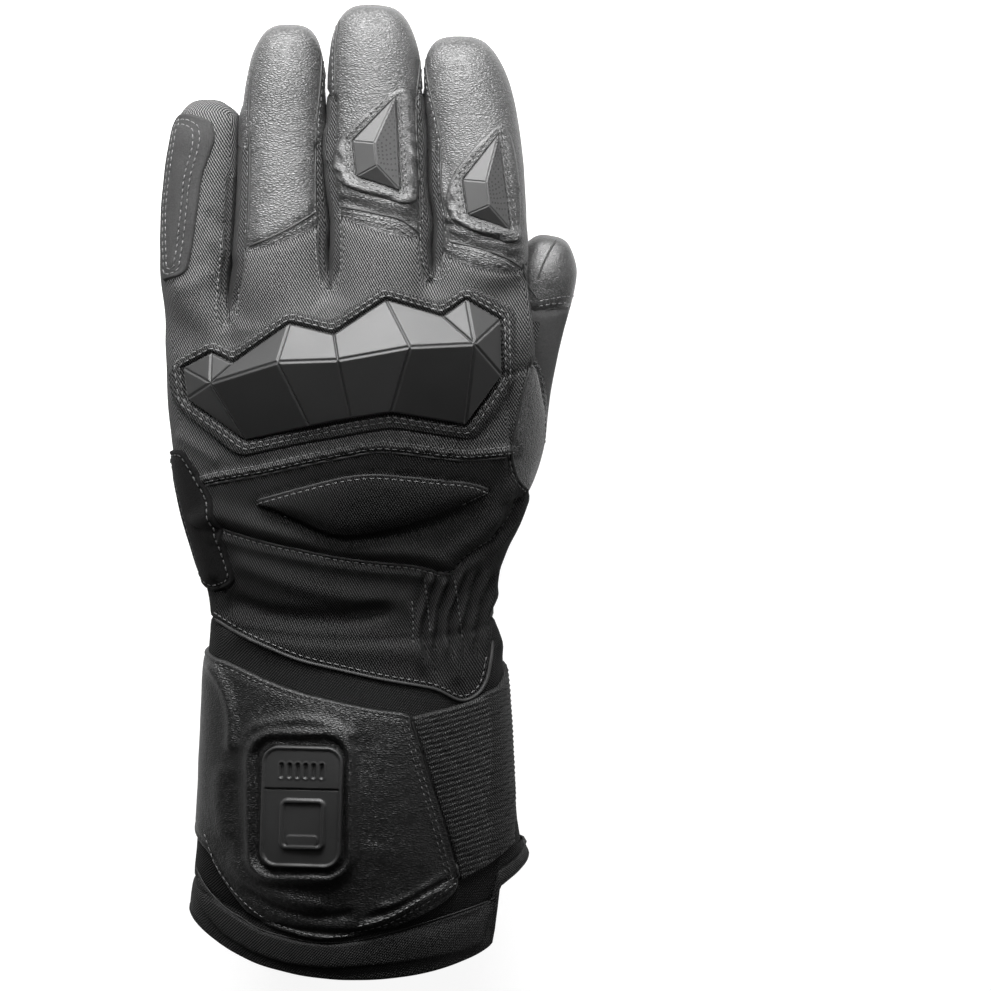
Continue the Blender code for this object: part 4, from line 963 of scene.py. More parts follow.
TWILL = cloth("twill", 0.0192, period=0.00074, sheen=0.0, spec=0.05)
# the lower back's twill is the same cloth painted darker: painted shade below the knuckle guard
TWILL_LOW_PAINTED_SHADE = cloth("twill_lower_painted_shade", 0.0062, period=0.00074, sheen=0.0, spec=0.03)
TWILL_DARK = cloth("twill_strip", 0.0105, period=0.00074, sheen=0.0, spec=0.04)
# the lens's twill is the same cloth painted darker still: painted shade below the knuckle guard
TWILL_LENS_PAINTED_SHADE = cloth("twill_lens_painted_shade", 0.0036, period=0.00074, sheen=0.0, spec=0.02)
LEATHER = leather("leather_finger", 0.0142, grain=1080.0, depth=1.7, wrinkle=(55, 200, 120), wrinkles=0.5, rough=0.46, spec=0.32)
LEATHER_FRAME = leather("leather_frame", 0.0130, grain=1200.0, depth=0.9, wrinkle=(90, 120, 120), wrinkles=0.25, rough=0.46, spec=0.30)
LEATHER_CUFF = leather("leather_cuff", 0.0032, grain=1080.0, depth=1.3, wrinkle=(110, 110, 110), wrinkles=0.5, rough=0.46, spec=0.22, turn=20)
LEATHER_PALM = leather("leather_palm", 0.016, grain=1100.0, wrinkle=(120, 120, 120), wrinkles=0.5, rough=0.5, spec=0.35)
LEATHER_CAP = leather("leather_cap", 0.0130, grain=1400.0, depth=0.6, wrinkle=(90, 150, 120), wrinkles=0.4, rough=0.43, spec=0.32)
LEATHER_THUMB = leather("leather_thumb", 0.0060, grain=900.0, depth=3.4, wrinkle=(80, 170, 120), wrinkles=1.0, rough=0.43, spec=0.31, turn=-30)
SUEDE = brushed("suede", 0.0190, sheen=0.02, spec=0.10)
SUEDE_DARK = brushed("suede_dark", 0.0022, scale=1700.0, depth=2.4, sheen=0.01, spec=0.04, blotch=0.3)
SUEDE_PATCH = brushed("suede_patch", 0.0115, sheen=0.01, spec=0.06)
SOFTSHELL = cloth("softshell", 0.0029, turn=40.0, period=0.00070, depth=1.0, rough=0.8, sheen=0.0, spec=0.07)
# the hem's softshell is the cuff's cloth painted lighter: painted light on the hem, which faces away from the lamps
HEM_PAINTED_LIGHT = cloth("softshell_hem_painted_light", 0.0056, turn=40.0, period=0.00070, depth=1.0, rough=0.8, sheen=0.0, spec=0.14)
LINING = brushed("lining", 0.012, scale=1400.0, depth=1.0, sheen=0.05, spec=0.1)
GUARD = moulded_look("moulded_guard", 0.0038, rough=0.54, spec=0.27)
GUARD_FINGER = moulded_look("moulded_finger_guard", 0.0110, rough=0.56, spec=0.25)
RUBBER = moulded_look("rubber", 0.0110, rough=0.52, spec=0.25)
# the dots' dark colour is painted shade in the guards' dimples
DOT_PAINTED_SHADE = moulded_look("moulded_recess_painted_shade", 0.0012, rough=0.8, spec=0.05)
WEBBING = cloth("webbing", 0.0036, turn=6.0, period=0.00070, depth=1.8, rough=0.6, spec=0.20, sheen=0.0)
LOOP = brushed("loop_fabric", 0.004, scale=1900.0, depth=2.0, sheen=0.05, spec=0.08, blotch=0.2)
THREAD = thread_look("thread", 0.019)
THREAD_DARK = thread_look("thread_dark", 0.008)
PIPING = brushed("piping", 0.010, scale=2400.0, depth=0.5, rough=0.6, spec=0.15, sheen=0.0)


# --------------------------------------------------------------- mesh making
MADE = {}


def mesh_object(name, points, faces, look, smooth=True, body="root", stands_for=(), normals=None, masks=None):
    """A piece from points in mm."""
    used = np.unique(np.concatenate([np.ravel(f) for f in faces]))
    place_of = np.full(int(used.max()) + 1, -1)
    place_of[used] = np.arange(len(used))
    mesh = bpy.data.meshes.new(name)
    mesh.from_pydata((np.asarray(points)[used] / 1000.0).tolist(), [], [place_of[np.asarray(f)].tolist() for f in faces])
    mesh.materials.append(look)
    if smooth:
        mesh.polygons.foreach_set("use_smooth", np.ones(len(mesh.polygons), bool))
    if masks:
        for key, values in masks.items():
            layer = mesh.attributes.new(key, "FLOAT", "POINT")
            layer.data.foreach_set("value", np.asarray(values, np.float32)[used])
    if normals is not None:
        mesh.normals_split_custom_set_from_vertices(np.asarray(normals)[used].tolist())
    obj = bpy.data.objects.new(name, mesh)
    bpy.context.scene.collection.objects.link(obj)
    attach(obj, body)
    if stands_for:
        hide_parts(*stands_for)
    MADE[name] = obj
    return obj


class Surface:
    """A mesh that later pieces are laid on."""

    def __init__(self, points, faces, normals=None):
        self.points = np.asarray(points, float)
        self.tris = triangles(faces)
        self.normals = vertex_normals(self.points, self.tris) if normals is None else normals
        self.tree = BVHTree.FromPolygons(self.points.tolist(), self.tris.tolist(), all_triangles=True)


SKIN = Surface(SKIN_P, SKIN_F, NORMAL)
LAID = [SKIN]          # the skin, then each layer on it


def smooth_surface():
    """The skin before folds and seams: what stiff layers follow."""
    return Surface(BASE_P, SKIN_F, vertex_normals(BASE_P, SKIN_F))


PLAIN = smooth_surface()


def cast(origins, aims, surfaces=None):
    """First hits of rays on the surfaces: points, smooth normals, and whether each ray hit."""
    surfaces = surfaces or LAID
    n = len(origins)
    points, normals, ok = np.zeros((n, 3)), np.zeros((n, 3)), np.zeros(n, bool)
    for i in range(n):
        best = None
        for s in surfaces:
            hit, _, face, far = s.tree.ray_cast(Vector(origins[i]), Vector(aims[i]))
            if hit is not None and (best is None or far < best[0]):
                best = (far, hit, face, s)
        if best is None:
            continue
        _, hit, face, s = best
        a, b, c = s.points[s.tris[face]]
        p = np.array(hit)
        v0, v1, v2 = b - a, c - a, p - a
        d00, d01, d11, d20, d21 = v0 @ v0, v0 @ v1, v1 @ v1, v2 @ v0, v2 @ v1
        den = d00 * d11 - d01 * d01
        v = (d11 * d20 - d01 * d21) / den if den else 0.0
        w = (d00 * d21 - d01 * d20) / den if den else 0.0
        na, nb, nc = s.normals[s.tris[face]]
        points[i], normals[i], ok[i] = p, na * (1 - v - w) + nb * v + nc * w, True
    return points, unit(normals), ok


# ------------------------------------------------------------------- charts
class PhotoChart:
    """Flat places are plan places in mm (photo pixels times UNIT)."""

    def rays(self, q):
        q = np.asarray(q, float) / UNIT
        aims = np.stack([q[:, 0] - MIDDLE, MIDDLE - q[:, 1], np.full(len(q), -DISTANCE / UNIT)], 1) @ AXES.T
        return np.repeat(EYE[None], len(q), 0), unit(aims)

    def flat(self, points):
        return to_px(points) * UNIT


class FlatChart:
    """Parallel rays along a direction given by its turn about Y from straight up, and its lean to the fingertips."""

    def __init__(self, turn, lean=0.0):
        t, l = math.radians(turn), math.radians(lean)
        back = np.array([math.sin(t) * math.cos(l), math.sin(l), math.cos(t) * math.cos(l)])
        up = unit(np.array([0.0, 1.0, 0.0]) - back * back[1])
        self.axes = np.stack([np.cross(up, back), up, back], 1)

    def rays(self, q):
        q = np.asarray(q, float)
        start = q[:, :1] * self.axes[:, 0] + q[:, 1:2] * self.axes[:, 1] + 300.0 * self.axes[:, 2]
        return start, np.repeat(-self.axes[None, :, 2], len(q), 0)

    def flat(self, points):
        return np.asarray(points, float) @ self.axes[:, :2]


class RoundChart:
    """Rays towards an axis along Y: the first place is the way round, in mm at a radius, from the top to +X."""

    def __init__(self, x, z, radius):
        self.x, self.z, self.radius = x, z, radius

    def rays(self, q):
        q = np.asarray(q, float)
        angle = q[:, 0] / self.radius
        out = np.stack([np.sin(angle), np.zeros(len(q)), np.cos(angle)], 1)
        start = np.array([self.x, 0, self.z]) + out * 200.0 + np.stack([np.zeros(len(q)), q[:, 1], np.zeros(len(q))], 1)
        return start, -out

    def flat(self, points):
        p = np.asarray(points, float)
        return np.stack([np.arctan2(p[:, 0] - self.x, p[:, 2] - self.z) * self.radius, p[:, 1]], 1)


PHOTO = PhotoChart()
UNDER = FlatChart(180.0)
LEFT = FlatChart(-52.0, 4.0)
RIGHT = FlatChart(55.0, 4.0)
CUFF = RoundChart(-4.0, 30.0, 46.0)


def on_skin(line, chart=PHOTO, surfaces=None):
    """Space points of a plan line given in photo pixels."""
    q = np.asarray(line, float) * (UNIT if chart is PHOTO else 1.0)
    p, n, ok = cast(*chart.rays(q), surfaces or [SKIN])
    return p[ok], n[ok]


def under(line, height):
    """Chart places (UNDER) of an outline drawn palm up at a height."""
    return UNDER.flat(np.array([spot(u, v, height) - SHIFT for u, v in line]))


def panel(name, chart, outline, rise, look, slot=None, stands_for=(), step=1.1, edge=0.75, insets=(0.3, 0.7, 1.2, 1.8, 2.5, 3.3),
          bury=0.7, on=None, hole=None, crisp=False, soft=None, lies_on=()):
    """A layer laid on what is below it. outline is in the chart's mm; rise(places, depth) is its height in mm.

    soft is not used."""
    ring = resample(outline, edge, True) if not crisp else fine_ring(outline, edge)
    rings = [ring] + ([resample(hole, edge, True) if not crisp else fine_ring(hole, edge)] if hole is not None else [])
    places, edges, start = [], [], 0
    for r in rings:
        n = len(r)
        places.append(r)
        edges += [(start + i, start + (i + 1) % n) for i in range(n)]
        start += n

    def depth_of(q):
        d = ring_distance(q, ring)
        if hole is not None:
            d = np.minimum(d, -ring_distance(q, rings[1]))
        return d

    for gap in insets:
        for k, r in enumerate(rings):
            tangent = unit(np.roll(r, -1, 0) - np.roll(r, 1, 0))
            side = np.stack([-tangent[:, 1], tangent[:, 0]], 1)
            for sign in (1, -1):
                q = (r + sign * side * gap)[::1 if gap < 1.0 else 2]
                d = depth_of(q)
                places.append(q[d > gap * 0.93])
    low, high = ring.min(0), ring.max(0)
    gx, gy = np.meshgrid(np.arange(low[0], high[0], step), np.arange(low[1], high[1], step * 0.866))
    gx = gx + (np.arange(gx.shape[0]) % 2)[:, None] * step / 2
    q = np.stack([gx.ravel(), gy.ravel()], 1)
    q = q[depth_of(q) > (insets[-1] if insets else 0.3) + step * 0.45]
    places.append(q)
    places = np.concatenate(places)
    got = delaunay_2d_cdt([Vector(p) for p in places], edges, [], 0, 1e-5)
    places = np.array([tuple(v) for v in got[0]])
    faces = np.array([f for f in got[2] if len(f) == 3])
    centre = places[faces].mean(1)
    keep = inside(centre, ring)
    if hole is not None:
        keep &= ~inside(centre, rings[1])
    faces = faces[keep]
    used = np.unique(faces)
    where = np.full(len(places), -1)
    where[used] = np.arange(len(used))
    places, faces = places[used], where[faces]
    points, normals, ok = cast(*chart.rays(places), on)
    if not ok.all():
        tree = KDTree(int(ok.sum()))
        good = np.where(ok)[0]
        for i in good:
            tree.insert(Vector((*places[i], 0)), int(i))
        tree.balance()
        for i in np.where(~ok)[0]:
            j = tree.find(Vector((*places[i], 0)))[1]
            points[i], normals[i] = points[j], normals[j]
    depth = depth_of(places).clip(0)
    height = rise(places, depth)
    aims = chart.rays(places[:1])[1]
    flip = np.einsum("ij,ij->i", np.cross(points[faces[:, 1]] - points[faces[:, 0]], points[faces[:, 2]] - points[faces[:, 0]]),
                     normals[faces[:, 0]]) < 0
    faces[flip] = faces[flip][:, ::-1]
    out = points + normals * height[:, None]
    # the buried rim
    pairs = np.sort(np.stack([faces, np.roll(faces, -1, 1)], 2).reshape(-1, 2), 1)
    directed = np.stack([faces, np.roll(faces, -1, 1)], 2).reshape(-1, 2)
    _, first, count = np.unique(pairs, axis=0, return_index=True, return_counts=True)
    rim = directed[first[count == 1]]
    rim_ids = np.unique(rim)
    below = {int(i): len(out) + k for k, i in enumerate(rim_ids)}
    out = np.concatenate([out, points[rim_ids] - normals[rim_ids] * bury])
    walls = [(int(b), int(a), below[int(a)], below[int(b)]) for a, b in rim]
    all_faces = [tuple(int(i) for i in f) for f in faces] + walls
    obj = mesh_object(name, out, all_faces, look, stands_for=stands_for)
    LAID.append(Surface(out[:len(points)], faces))
    return obj


def fine_ring(outline, step):
    """A closed outline with its corners kept."""
    p = np.asarray(outline, float)
    out = []
    for a, b in zip(p, np.roll(p, -1, 0)):
        n = max(1, int(round(np.linalg.norm(b - a) / step)))
        out += [a + (b - a) * i / n for i in range(n)]
    return np.array(out)


def rolled(thick, round_off=0.7, rows=(), dip=0.35, wide=0.34, crown=0.0, crown_at=8.0):
    """The height of a turned edge with stitched rows sunk at depths from the edge."""
    def rise(places, depth):
        h = thick * np.sqrt(1 - (1 - (depth / round_off).clip(0, 1)) ** 2)
        for r in rows:
            h = h - dip * np.exp(-((depth - r) / wide) ** 2)
        return h + crown * (1 - np.exp(-((depth - 1.0).clip(0) / crown_at) ** 2))
    return rise


def tube(points, normals, radius, sections=7, sink=0.3, taper=True):
    """A round cord along points, partly sunk; returns vertices and faces."""
    p = np.asarray(points, float)
    n = unit(normals)
    t = unit(np.gradient(p, axis=0))
    b = unit(np.cross(t, n))
    n = np.cross(b, t)
    angles = np.linspace(0, 2 * math.pi, sections, endpoint=False)
    r = np.full(len(p), radius)
    if taper:
        r[0] = r[-1] = radius * 0.3
    verts = np.concatenate([p + n * (radius * (1 - sink * 2)) * 0.5 + (np.cos(a) * b + np.sin(a) * n) * r[:, None] for a in angles])
    m = len(p)
    faces = [(k * m + i, k * m + i + 1, (k + 1) % sections * m + i + 1, (k + 1) % sections * m + i)
             for k in range(sections) for i in range(m - 1)]
    faces += [tuple(k * m for k in range(sections))[::-1], tuple(k * m + m - 1 for k in range(sections))]
    return verts, faces


class Joined:
    """Many small meshes in one piece."""

    def __init__(self):
        self.verts, self.faces, self.count = [], [], 0

    def add(self, verts, faces):
        self.verts.append(np.asarray(verts))
        self.faces += [tuple(i + self.count for i in f) for f in faces]
        self.count += len(verts)

    def make(self, name, look, slot=None):
        if self.count:
            return mesh_object(name, np.concatenate(self.verts), self.faces, look)


STITCHES, STITCHES_DARK = Joined(), Joined()


def stitch(points, normals, pitch=2.7, length=2.0, radius=0.3, into=None, lift=0.05):
    """Thread lengths end to end along a line on a surface."""
    into = into or STITCHES
    data = resample(np.concatenate([points, normals], 1), pitch)
    line, normal = data[:, :3], unit(data[:, 3:])
    tangent = unit(np.gradient(line, axis=0))
    for p, n, t in zip(line, normal, tangent):
        b = unit(np.cross(t, n))
        n = np.cross(b, t)
        rings = []
        for along, wide in ((-0.5, 0.15), (-0.36, 0.85), (0, 1.0), (0.36, 0.85), (0.5, 0.15)):
            c = p + t * along * length + n * (lift - 0.55 * radius * (abs(along) > 0.4))
            for a in range(5):
                w = a * 2 * math.pi / 5 + 0.3
                rings.append(c + (math.cos(w) * b + math.sin(w) * n) * radius * wide)
        faces = [(k * 5 + a, k * 5 + (a + 1) % 5, k * 5 + 5 + (a + 1) % 5, k * 5 + 5 + a) for k in range(4) for a in range(5)]
        into.add(rings, faces)


def runs(p, ok, far=3.0):
    """The unbroken stretches of a line laid on a surface."""
    out, now = [], []
    for i in range(len(p)):
        if not ok[i] or (now and np.linalg.norm(p[i] - p[now[-1]]) > far):
            if len(now) > 3:
                out.append(now)
            now = []
        if ok[i]:
            now.append(i)
    return out + ([now] if len(now) > 3 else [])


def stitch_line(line, chart=PHOTO, smooth=True, surfaces=None, **how):
    """Stitches along a line given in photo pixels (PHOTO) or chart mm."""
    line = curve(line) if smooth else np.asarray(line, float)
    scale = UNIT if chart is PHOTO else 1.0
    q = resample(line * scale, 0.9)
    p, n, ok = cast(*chart.rays(q), surfaces)
    for run in runs(p, ok):
        stitch(p[run], n[run], **how)


def offset_line(line, by):
    """A line moved sideways (positive: below a line that runs to the right)."""
    p = np.asarray(line, float)
    t = unit(np.gradient(p, axis=0))
    return p + np.stack([-t[:, 1], t[:, 0]], 1) * by


def inset_ring(outline, by, crisp=False):
    """A closed outline moved inwards, mm or pixels."""
    ring = fine_ring(outline, 0.8 if not crisp else 0.8) if crisp else resample(outline, 0.8, True)
    t = unit(np.roll(ring, -1, 0) - np.roll(ring, 1, 0))
    side = np.stack([-t[:, 1], t[:, 0]], 1)
    out = []
    for sign in (1, -1):
        q = ring + sign * side * by
        d = ring_distance(q, ring)
        if (d > 0).mean() > 0.5:
            out = q[d > abs(by) * 0.93]
    return out


def pipe(joined, line, radius=0.5, chart=PHOTO, sink=0.3, smooth=True, surfaces=None, step=1.0):
    line = curve(line) if smooth else np.asarray(line, float)
    q = resample(line * (UNIT if chart is PHOTO else 1.0), step)
    p, n, ok = cast(*chart.rays(q), surfaces)
    for run in runs(p, ok, 3.0 * step):
        joined.add(*tube(p[run], n[run], radius, sink=sink))


# ------------------------------------------------------- the skin's own pieces
# hand_back_low's darker twill is painted shade below the knuckle guard
LOOK_OF = {
    "hand_back": (TWILL, "twill"), "hand_back_low": (TWILL_LOW_PAINTED_SHADE, "twill"), "palm": (LEATHER_PALM, "palm_leather"), "finger_back_ring": (LEATHER, "leather"),
    "finger_back_middle": (LEATHER, "leather"), "finger_back_index": (LEATHER, "leather"),
    "strip_little_ring": (TWILL_DARK, "twill"), "strip_ring_middle": (TWILL_DARK, "twill"),
    "strip_middle_index": (TWILL_DARK, "twill"), "thumb_back": (LEATHER_THUMB, "suede"), "thumb_back_up": (SUEDE, "suede"), "thumb_pad": (LEATHER_PALM, "palm_leather"),
    # hem_band's lighter softshell is painted light
    "thumb_cap": (LEATHER_CAP, "twill"), "cuff": (SOFTSHELL, "softshell"), "hem_band": (HEM_PAINTED_LIGHT, "softshell")}
FACE_PIECE = PIECE[SKIN_TAG].copy()


def follow_line(mask, line, reach=5.5):
    """Slide the vertices on the rim of a set of faces onto a plan line."""
    edges = np.sort(np.stack([SKIN_F, np.roll(SKIN_F, -1, 1)], 2).reshape(-1, 2), 1)
    owner = np.repeat(mask, 4)
    order = np.lexsort((edges[:, 1], edges[:, 0]))
    edges, owner = edges[order], owner[order]
    rim = edges[1:][(edges[1:] == edges[:-1]).all(1) & (owner[1:] != owner[:-1])]
    ids = np.unique(rim)
    ids = ids[BACK[ids]]
    p = np.asarray(line, float)
    for i in ids:
        best, spot_on = 1e9, None
        for a, b in zip(p[:-1], p[1:]):
            d = b - a
            t = min(1.0, max(0.0, (PX[i] - a) @ d / (d @ d)))
            q = a + t * d
            gap = np.hypot(*(PX[i] - q))
            if gap < best:
                best, spot_on = gap, q
        if best < reach:
            points, _, ok = cast(*PHOTO.rays([spot_on * UNIT]), [SKIN])
            if ok[0] and np.linalg.norm(points[0] - SKIN_P[i]) < 4.0:
                SKIN_P[i] = points[0]


# the twill's lower part hangs over the top of the cuff
skirt = curve(TWILL_EDGE)
skirt_ring = np.concatenate([skirt, [(520, 560), (180, 560)]])
centre_px = PX[SKIN_F].mean(1)
over = inside(centre_px, skirt_ring) & (FACE_PIECE == "cuff") & BACK[SKIN_F].all(1)
FACE_PIECE[over] = "hand_back"
follow_line(over | (FACE_PIECE == "hand_back"), skirt)
# the back's twill is sewn from two panels that meet at the welt; the lower panel's darker twill is painted shade below
# the knuckle guard
welt = curve(WELT)
low = (centre_px[:, 1] > np.interp(centre_px[:, 0], welt[:, 0], welt[:, 1])) & (FACE_PIECE == "hand_back")
FACE_PIECE[low] = "hand_back_low"
follow_line(low, welt)
# the twill reaches the outer seam, from the index finger to the thumb's root
OUTER = [(523, 264), (524, 274), (530, 288), (537, 298), (541, 308), (541, 316), (539, 330), (536, 342), (532, 355), (529, 370),
         (525, 385), (521, 400), (517, 420), (513, 440), (512, 455), (515, 470), (520, 482), (529, 490)]
outer_side = inside(centre_px, np.concatenate([OUTER, [(545, 476), (560, 470), (560, 525), (470, 525), (470, 264)]]))
outer_side &= BACK[SKIN_F].all(1) & np.isin(FACE_PIECE, ["palm", "thumb_back", "thumb_pad"])
above = centre_px[:, 1] < np.interp(centre_px[:, 0], welt[:, 0], welt[:, 1])
FACE_PIECE[outer_side & above] = "hand_back"
FACE_PIECE[outer_side & ~above] = "hand_back_low"
follow_line((FACE_PIECE == "hand_back") | (FACE_PIECE == "hand_back_low"), curve(OUTER), 4.0)
# below its cap the thumb's outer side is suede, down to the leather at its root
SUEDE_EDGE = [(524, 352), (535, 358), (542, 370), (546, 390), (548, 420), (547, 452)]
CAP_EDGE = [(526, 311), (545, 310), (560, 308), (582, 306)]
up = inside(centre_px, np.concatenate([CAP_EDGE, [(600, 306), (600, 470)], SUEDE_EDGE[::-1]])) & BACK[SKIN_F].all(1)
up &= (FACE_PIECE == "thumb_back") | (FACE_PIECE == "thumb_cap")
stray = (FACE_PIECE == "thumb_back") & (centre_px[:, 1] < 309) & BACK[SKIN_F].all(1)
FACE_PIECE[stray] = "thumb_cap"
FACE_PIECE[up] = "thumb_back_up"
follow_line(up, curve(SUEDE_EDGE), 4.0)
follow_line(up, curve(CAP_EDGE), 4.0)
SKIN = Surface(SKIN_P, SKIN_F, vertex_normals(SKIN_P, SKIN_F))
LAID[0] = SKIN
NORMAL = SKIN.normals

for name, (look, slot) in LOOK_OF.items():
    obj = mesh_object("skin_" + name, SKIN_P, SKIN_F[FACE_PIECE == name].tolist(), look,
                      stands_for=(name.replace("_low", "").replace("_up", ""),), normals=NORMAL)

# the lining inside, and the rolled hem at the mouth
inner_n = vertex_normals(INNER_P, INNER_F)
tips_tree = KDTree(3)
for k, root in enumerate(ROOTS[1:4]):
    tips_tree.insert(spot(root.u, (root.v_back + root.v_palm) / 2, (root.z_back + root.z_palm) / 2) - SHIFT, k)
tips_tree.balance()
thin = np.array([0.35 + 0.65 * min(1.0, max(0.0, (tips_tree.find(p)[2] - 6) / 14)) for p in INNER_P])
lining_p = INNER_P - inner_n * (3.3 * thin)[:, None]
obj = mesh_object("lining", lining_p, [tuple(reversed(f)) for f in INNER_F.tolist()], LINING)


edge_pairs = np.sort(np.stack([SKIN_F, np.roll(SKIN_F, -1, 1)], 2).reshape(-1, 2), 1)
uniq, counts = np.unique(edge_pairs, axis=0, return_counts=True)
open_edges = uniq[counts == 1]
beside = {}
for a, b in open_edges:
    beside.setdefault(int(a), []).append(int(b))
    beside.setdefault(int(b), []).append(int(a))
start = int(open_edges[0, 0])
loop, before, at = [start], start, beside[start][0]
while at != start:
    loop.append(at)
    before, at = at, next(x for x in beside[at] if x != before)
rim_p, rim_n = SKIN_P[loop], NORMAL[loop]
along = unit(np.roll(rim_p, -1, 0) - np.roll(rim_p, 1, 0))
out = np.cross(rim_n, along)
out *= np.sign(-out[:, 1])[:, None]
steps = 7
lip = [rim_p + rim_n * 0.15 - out * 0.9]
for k in range(steps):
    a = math.pi * k / (steps - 1)
    lip.append(rim_p - rim_n * (2.0 - 2.15 * math.cos(a)) + out * (1.0 * math.sin(a)))
lip.append(rim_p - rim_n * 4.0 - out * 6.0)
lip_p = np.concatenate(lip)
m = len(loop)
lip_f = [(k * m + i, k * m + (i + 1) % m, (k + 1) * m + (i + 1) % m, (k + 1) * m + i) for k in range(len(lip) - 1) for i in range(m)]
check = np.cross(lip_p[m + 1] - lip_p[m], lip_p[2 * m] - lip_p[m])
if check @ rim_n[0] < 0:
    lip_f = [tuple(reversed(f)) for f in lip_f]
lip_p[:, 2] = lip_p[:, 2].clip(0.02)
# the rolled hem's lighter softshell is painted light
mesh_object("hem_lip", lip_p, lip_f, HEM_PAINTED_LIGHT)

# ---------------------------------------------------------- the knuckle guard
PIPES = Joined()
guard_ring = np.array(GUARD_RIM, float)


def grow_ring(outline, by):
    """A cornered outline moved outwards, its corners kept."""
    p = np.asarray(outline, float)
    area = sum(a[0] * b[1] - b[0] * a[1] for a, b in zip(p, np.roll(p, -1, 0)))
    out = []
    for a, b, c in zip(np.roll(p, 1, 0), p, np.roll(p, -1, 0)):
        d, e = unit(b - a), unit(c - b)
        na, nb = np.array([d[1], -d[0]]), np.array([e[1], -e[0]])
        out.append(b + math.copysign(by, area) * (na + nb) / max(0.45, 1 + na @ nb))
    return np.array(out)


def soften(outline, by, per=5):
    """A cornered outline with each corner rounded."""
    p = np.asarray(outline, float)
    out = []
    for a, b, c in zip(np.roll(p, 1, 0), p, np.roll(p, -1, 0)):
        la, lc = np.linalg.norm(a - b), np.linalg.norm(c - b)
        s, e = b + (a - b) * min(by / la, 0.45), b + (c - b) * min(by / lc, 0.45)
        for t in np.linspace(0, 1, per):
            out.append((1 - t) ** 2 * s + 2 * t * (1 - t) * b + t * t * e)
    return np.array(out)


frame_outer = soften(FRAME_RIM, 12) * UNIT
frame_inner = grow_ring(guard_ring, 1.2) * UNIT


def frame_rise(places, depth):
    inner = -ring_distance(places, frame_inner)
    outer = ring_distance(places, frame_outer)
    h = 2.0 * np.sqrt(1 - (1 - (outer / 1.6).clip(0, 1)) ** 2) * (1 - 0.75 * np.exp(-(inner / 0.6) ** 2))
    for r in (1.55, 3.0):
        h -= 0.42 * np.exp(-((inner - r) / 0.36) ** 2)
    return h


panel("knuckle_frame_cover", PHOTO, frame_outer, frame_rise, TWILL_DARK, slot="twill", stands_for=("knuckle_frame",), step=1.0,
      hole=frame_inner, crisp=True, insets=(0.35, 0.8, 1.3, 1.8, 2.4, 3.0), soft=0.8)
for by, into in ((5.0, STITCHES), (9.3, STITCHES)):
    ring = soften(grow_ring(guard_ring, by), 5)
    stitch_line(np.concatenate([ring, ring[:1]]), smooth=False, pitch=2.65, length=2.0, radius=0.26, into=into)

PEAKS = [(211, 383, 7.8), (278, 362, 9.8), (338, 360, 10.0), (410, 347, 11.2), (474, 344, 10.0)]
FACETS = [(0, 1, 16), (1, 2, 16), (2, 3, 17, 16), (3, 4, 18, 17), (4, 5, 19, 18), (5, 6, 20, 19), (6, 7, 20), (7, 8, 20), (8, 9, 20),
          (9, 10, 20), (10, 11, 19, 20), (11, 12, 18, 19), (12, 13, 17, 18), (13, 14, 16, 17), (14, 15, 16), (15, 0, 16)]


def level(places, z, facets, free):
    """Heights nearest the given ones that make every facet of four corners flat."""
    rows, want = [], []
    for f in facets:
        if len(f) == 4:
            m = np.stack([np.ones(4), places[list(f), 0], places[list(f), 1]])
            w = np.linalg.svd(m)[2][-1]
            row = np.zeros(len(z))
            row[list(f)] = w / np.abs(w).max()
            rows.append(row)
            want.append(0.0)
    for i in range(len(z)):
        row = np.zeros(len(z))
        row[i] = 0.06 if i in free else 4.0
        rows.append(row)
        want.append(z[i] * row[i])
    return np.linalg.lstsq(np.array(rows), np.array(want), rcond=None)[0]


def faceted(name, rim, peaks, facets, rim_high, look, node_name, groove=0.4, lift=0.42, bevel=0.16, deep=4.5, free=()):
    """A moulded guard: flat facets, each a little raised from the grooves between them."""
    places = np.array([(u, v) for u, v in rim] + [(p[0], p[1]) for p in peaks], float)
    highs = np.array([rim_high] * len(rim) + [p[2] for p in peaks])
    p, n, ok = cast(*PHOTO.rays(places * UNIT), [PLAIN])
    zs = level(places, p[:, 2] + highs, facets, free)
    top = np.array([spot(u, v, z) - SHIFT for (u, v), z in zip(places, zs)])
    foot = np.array([spot(u, v, z - deep) - SHIFT for (u, v), z in zip(places[:len(rim)], p[:len(rim), 2])])
    bm = bmesh.new()
    vt = [bm.verts.new(q) for q in top]
    vf = [bm.verts.new(q) for q in foot]
    tops = [bm.faces.new([vt[i] for i in f]) for f in facets]
    for i in range(len(rim)):
        j = (i + 1) % len(rim)
        bm.faces.new([vt[j], vt[i], vf[i], vf[j]])
    bm.faces.new(list(reversed(vf)))
    bmesh.ops.recalc_face_normals(bm, faces=bm.faces)
    bmesh.ops.inset_individual(bm, faces=tops, thickness=groove, depth=lift, use_even_offset=True)
    bmesh.ops.triangulate(bm, faces=[f for f in bm.faces if len(f.verts) > 4])
    mesh = bpy.data.meshes.new(name)
    for v in bm.verts:
        v.co /= 1000.0
    bm.to_mesh(mesh)
    bm.free()
    mesh.materials.append(look)
    obj = bpy.data.objects.new(name, mesh)
    bpy.context.scene.collection.objects.link(obj)
    modifier = obj.modifiers.new("edges", "BEVEL")
    modifier.width = bevel / 1000.0
    modifier.segments = 3
    modifier.limit_method = "ANGLE"
    modifier.angle_limit = math.radians(13)
    bpy.context.view_layer.update()
    done = bpy.data.meshes.new_from_object(obj.evaluated_get(bpy.context.evaluated_depsgraph_get()))
    obj.modifiers.clear()
    obj.data = done
    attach(obj, "root")
    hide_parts(node_name)
    return obj


faceted("knuckle_guard_shell", GUARD_RIM, PEAKS, FACETS, 3.2, GUARD, "knuckle_guard", groove=0.55, lift=0.6, bevel=0.22,
        free=(2, 4, 5, 6, 10, 11, 12, 13, 14))

